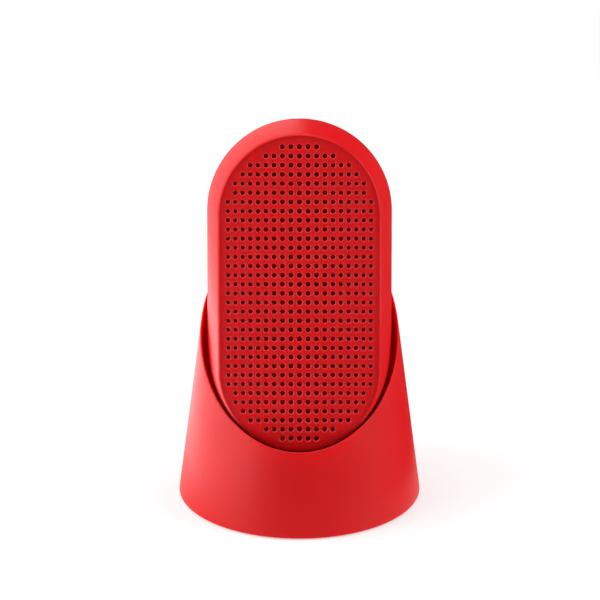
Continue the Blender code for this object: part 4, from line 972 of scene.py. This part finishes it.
# %% Pad
PAD_ROWS = 40
PAD_STEPS = 96
PAD_SQUARENESS = 6
PAD_THICKNESS = 0.9 * MM
PAD_ROOM = 0.25 * MM
pad_low, pad_high = (np.array(corner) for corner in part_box("seat_pad"))
pad_angle = np.arange(PAD_STEPS) * 2 * math.pi / PAD_STEPS
squircle = (np.abs(np.cos(pad_angle)) ** PAD_SQUARENESS
            + np.abs(np.sin(pad_angle)) ** PAD_SQUARENESS) ** (-1 / PAD_SQUARENESS)
spread = np.linspace(0, 1, PAD_ROWS)[:, None] * squircle
pad_x = (pad_low[0] + pad_high[0]) / 2 + spread * np.cos(pad_angle) * (pad_high[0] - pad_low[0]) / 2
pad_y = (pad_low[1] + pad_high[1]) / 2 + spread * np.sin(pad_angle) * (pad_high[1] - pad_low[1]) / 2
pad_height = underside(pad_x, pad_y, tray_low[2], tray_high[2], PAD_ROOM)
pad_points = np.concatenate((np.stack((pad_x, pad_y, pad_height), -1),
                             np.stack((pad_x, pad_y, pad_height - PAD_THICKNESS), -1)[::-1]))
add_piece("seat_cushion", grid_mesh("seat_cushion", pad_points), "stand", "black_rubber", ["seat_pad"])

# %% [markdown]
# ## Surround and spider
# The driver's moving cone hangs on two soft rings: a rubber roll around its edge and a corrugated disc
# around its coil. Their inner edges follow the cone and their outer edges stay. A piece can bend between
# two bodies, but only along one straight line. Each ring is cut into sectors like a cake, and each sector
# is a piece of its own that rides on no body; the sectors do not bend.

# %% One sector of a soft ring
SECTORS = 12
SECTOR_STEPS = 6
HALF_SECTOR = math.pi / SECTORS


def ring_sizes(node):
    """A turned solid's middle line v, inner and outer radius, and greatest depth."""
    places = np.array([vertex.co[:] for vertex in nodes[node].data.vertices]) - FACE
    depth = places @ INWARD
    v = places @ UPWARD
    middle_v = (v.min() + v.max()) / 2
    radius = np.hypot(places @ ACROSS, v - middle_v)
    return middle_v, radius.min(), radius.max(), depth.max()


def soft_ring(name, node, slot, front_line, back_line, fixed, moving):
    """Sectors between two (radius, depth) lines, each a piece of its own; the bend ends worked out from fixed and
    moving go unused.
    """
    middle_v = ring_sizes(node)[0]
    section = np.vstack((front_line, back_line[::-1]))
    lines = len(front_line)
    columns = SECTOR_STEPS + 1
    line = np.arange(lines - 1)
    first_cap = np.stack((line, line + 1, 2 * lines - 2 - line, 2 * lines - 1 - line), -1) * columns
    quads = np.vstack((grid_quads(2 * lines, columns, wrap_rows=True), first_cap, first_cap + SECTOR_STEPS))
    radius = section[:, :1]
    reach = np.array((fixed * math.cos(HALF_SECTOR), moving))
    for number in range(SECTORS):
        middle_angle = 2 * HALF_SECTOR * number
        angle = middle_angle + np.linspace(-HALF_SECTOR, HALF_SECTOR, columns)
        points = in_world(radius * np.cos(angle), section[:, 1:], middle_v + radius * np.sin(angle))
        sector = add_piece(f"{name}_{number + 1}", closed_mesh(name, points, quads), None, slot, [node])
        ends = in_world(reach * math.cos(middle_angle), section[0, 1],
                        middle_v + reach * math.sin(middle_angle))
        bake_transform(sector)


# %% Rubber roll and corrugated disc
ROLL_SKIN = 0.4 * MM
ROLL_LIP = 0.8 * MM
ROLL_STEPS = 20
SPIDER_SKIN = 0.35 * MM
SPIDER_WAVE = 0.3 * MM
SPIDER_WAVES = 2
SPIDER_GLUE = 0.9 * MM

_, inner, outer, back = ring_sizes("surround")
middle = (inner + outer) / 2
roll = (outer - inner) / 2 - ROLL_LIP
turn = np.linspace(0, math.pi, ROLL_STEPS)
front = back - ROLL_SKIN
under_roll = roll - ROLL_SKIN
over = np.column_stack((middle + roll * np.cos(turn), front - roll * np.sin(turn)))
under = np.column_stack((middle + under_roll * np.cos(turn), front - under_roll * np.sin(turn)))
over_line = np.vstack(([(outer, front)], over, [(inner, front)]))
under_line = np.vstack(([(outer, back)], under, [(inner, back)]))
soft_ring("surround_roll", "surround", "black_rubber", over_line, under_line, middle + roll, middle - roll)

_, inner, outer, back = ring_sizes("spider")
share = np.linspace(0, 1, 2 * ROLL_STEPS)
wave = back - SPIDER_WAVE + SPIDER_WAVE * np.sin(2 * math.pi * SPIDER_WAVES * share)
disc_line = np.column_stack((inner + (outer - inner) * share, wave))
soft_ring("spider_disc", "spider", "cone_paper", disc_line - (0, SPIDER_SKIN), disc_line,
          outer - SPIDER_GLUE, inner + SPIDER_GLUE)

# %% [markdown]
# ## Finishes
# All visible shells are the same soft-touch red: a matte moulding with a very fine grain, a slight
# unevenness of colour and a broad, soft gloss. Such plastic lets red light in and out again, which fills
# its shadows with deep red, so the shader scatters light below the surface. The lips of the holes have a
# glossier coat and a slightly paler colour, which is a painted highlight. The pieces inside get finishes of
# their own, each with the pattern that its material shows: brushed metal, woven cloth, pressed paper,
# printed board. All patterns follow the place on the object or a value stored in the mesh, so they need no
# unwrapping.

# %% Soft-touch red
def close(tree, sockets, constants=None):
    """Principled surface from its varying sockets and its constant ones."""
    shader = tree.node("ShaderNodeBsdfPrincipled", None, {**sockets, **(constants or {})})
    tree.node("ShaderNodeOutputMaterial", None, {"Surface": shader})


def relief(tree, height, depth):
    """A bump of a given depth in metres."""
    return tree.node("ShaderNodeBump", None, {"Strength": 1.0, "Distance": depth, "Height": height})


MOTTLE_SCALE = 90.0
MOTTLE_DETAIL = 4.0
MOTTLE_SWING = 0.06
GRAIN_SCALE = 3200.0
GRAIN_SWING = 0.10
GRAIN_DEPTH = 0.004 * MM
# The lips' coat is real gloss; the paler lip colour and its share are a painted highlight.
LIP_HIGHLIGHT_SHARE = 0.06
LIP_COAT = 0.45
LIP_HIGHLIGHT_COLOUR = (1.0, 0.30, 0.30, 1)
SCATTER = {"Subsurface Weight": 0.8, "Subsurface Radius": (1.0, 0.05, 0.05), "Subsurface Scale": 4.0 * MM}
SOFT_GLOSS = {"Specular IOR Level": 0.20, "Coat Roughness": 0.3}


def soft_touch(name, dark_colour, light_colour, roughness):
    """Matte moulding: mottled colour, fine grain in gloss and relief; a coat and a painted highlight colour on
    hole lips.
    """
    material, tree = surface(name)
    place = tree.place()
    mottle = tree.noise(place, MOTTLE_SCALE, MOTTLE_DETAIL)
    grain = tree.noise(place, GRAIN_SCALE)
    lip = tree.node("ShaderNodeAttribute", {"attribute_name": "lip"}, None, "Fac")
    colour = tree.mix(mottle, (*dark_colour, 1), (*light_colour, 1))
    close(tree, {
        # The lips' colour is mixed a little towards pale pink: a painted highlight.
        "Base Color": tree.mix(lip * LIP_HIGHLIGHT_SHARE, colour, LIP_HIGHLIGHT_COLOUR),
        "Coat Weight": lip * LIP_COAT,
        "Roughness": roughness + (grain - 0.5) * GRAIN_SWING + (mottle - 0.5) * MOTTLE_SWING,
        "Normal": relief(tree, grain, GRAIN_DEPTH)}, {**SOFT_GLOSS, **SCATTER})
    return material


finishes = {"red_plastic": soft_touch("soft_red", (0.60, 0.0025, 0.0045), (0.66, 0.0035, 0.006), 0.46)}
print("finishes:", list(finishes))

# %% Finishes of the inside
UNSTRETCHED = (1, 1, 1)
SPECKLE_DETAIL = 3.0
SPECKLE_SWING = 0.2
CLOTH_ROUGHNESS = 0.95
THREAD_SWING = 0.15


def speckled(name, first, second, scale, roughness, depth, stretch=UNSTRETCHED, constants=None):
    """Two colours mixed by noise, stretched along an axis for brushed or drawn surfaces."""
    material, tree = surface(name)
    place = tree.node("ShaderNodeMapping", None, {"Vector": tree.place(), "Scale": stretch})
    speckle = tree.noise(place, scale, SPECKLE_DETAIL)
    sockets = {"Base Color": tree.mix(speckle, (*first, 1), (*second, 1)),
               "Roughness": roughness + (speckle - 0.5) * SPECKLE_SWING}
    if depth:
        sockets["Normal"] = relief(tree, speckle, depth)
    close(tree, sockets, constants)
    return material


def woven(name, first, second, threads, depth):
    """Crossing waves as warp and weft: their product picks the colour and lifts the threads."""
    material, tree = surface(name)
    place = tree.place()
    warp = tree.node("ShaderNodeTexWave", {"bands_direction": "X"}, {"Vector": place, "Scale": threads})
    weft = tree.node("ShaderNodeTexWave", {"bands_direction": "Z"}, {"Vector": place, "Scale": threads})
    thread = warp * weft
    close(tree, {"Base Color": tree.mix(thread, (*first, 1), (*second, 1)),
                 "Roughness": CLOTH_ROUGHNESS - thread * THREAD_SWING,
                 "Normal": relief(tree, thread, depth)})
    return material


METAL = {"Metallic": 1.0}
CLEAR = {"Transmission Weight": 0.6, "IOR": 1.49}
DRAWN = 12
INSIDE = {
    "dark_plastic": ("dark_plastic", (0.015, 0.015, 0.017), (0.03, 0.03, 0.032), 2500, 0.5, 0.004 * MM),
    "black_rubber": ("black_rubber", (0.018, 0.018, 0.018), (0.035, 0.034, 0.034), 1800, 0.8, 0.01 * MM),
    "cone_paper": ("cone_paper", (0.05, 0.05, 0.055), (0.08, 0.08, 0.085), 900, 0.85, 0.03 * MM),
    "steel": ("brushed_steel", (0.48, 0.48, 0.50), (0.64, 0.64, 0.66), 600, 0.35, 0.002 * MM,
              (1, 1, DRAWN), METAL),
    "ferrite": ("ferrite", (0.04, 0.04, 0.045), (0.07, 0.07, 0.075), 1500, 0.6, 0.01 * MM),
    "copper": ("wound_copper", (0.68, 0.27, 0.10), (0.80, 0.37, 0.15), 300, 0.35, 0.01 * MM,
               (1, DRAWN, 1), METAL),
    "cell_wrap": ("cell_wrap", (0.045, 0.145, 0.40), (0.06, 0.18, 0.45), 120, 0.4, 0.01 * MM),
    "foam": ("foam", (0.09, 0.09, 0.09), (0.16, 0.16, 0.16), 1600, 0.95, 0.06 * MM),
    "board_green": ("board_mask", (0.008, 0.10, 0.04), (0.015, 0.15, 0.06), 350, 0.4, 0.01 * MM),
    "tin": ("plated_tin", (0.62, 0.62, 0.62), (0.76, 0.76, 0.75), 700, 0.3, 0.001 * MM, UNSTRETCHED, METAL),
    "clear_plastic": ("clear_plastic", (0.82, 0.84, 0.84), (0.93, 0.93, 0.92), 500, 0.15, 0.0,
                      UNSTRETCHED, CLEAR)}
for slot, values in INSIDE.items():
    finishes[slot] = speckled(*values)
finishes["dark_cloth"] = woven("speaker_cloth", (0.50, 0.006, 0.008), (0.78, 0.011, 0.014), 400, 0.05 * MM)
print("finishes:", len(finishes))

# %% [markdown]
# ## Dressing every piece
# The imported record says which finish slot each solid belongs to, so one loop dresses all of them. New
# pieces took over their slot when they were made, and get the same finishes.

# %% Give each piece its finish
slot_of = {part["node"]: part["material_slot"] for part in record["subparts"]}
slot_of.update(new_slots)
new_pieces = {name: bpy.data.objects[name] for name in new_slots}
for name, piece in [*nodes.items(), *new_pieces.items()]:
    piece.data.materials.clear()
    piece.data.materials.append(finishes[slot_of[name]])
print("dressed:", len(nodes), "solids and", len(new_pieces), "new pieces")
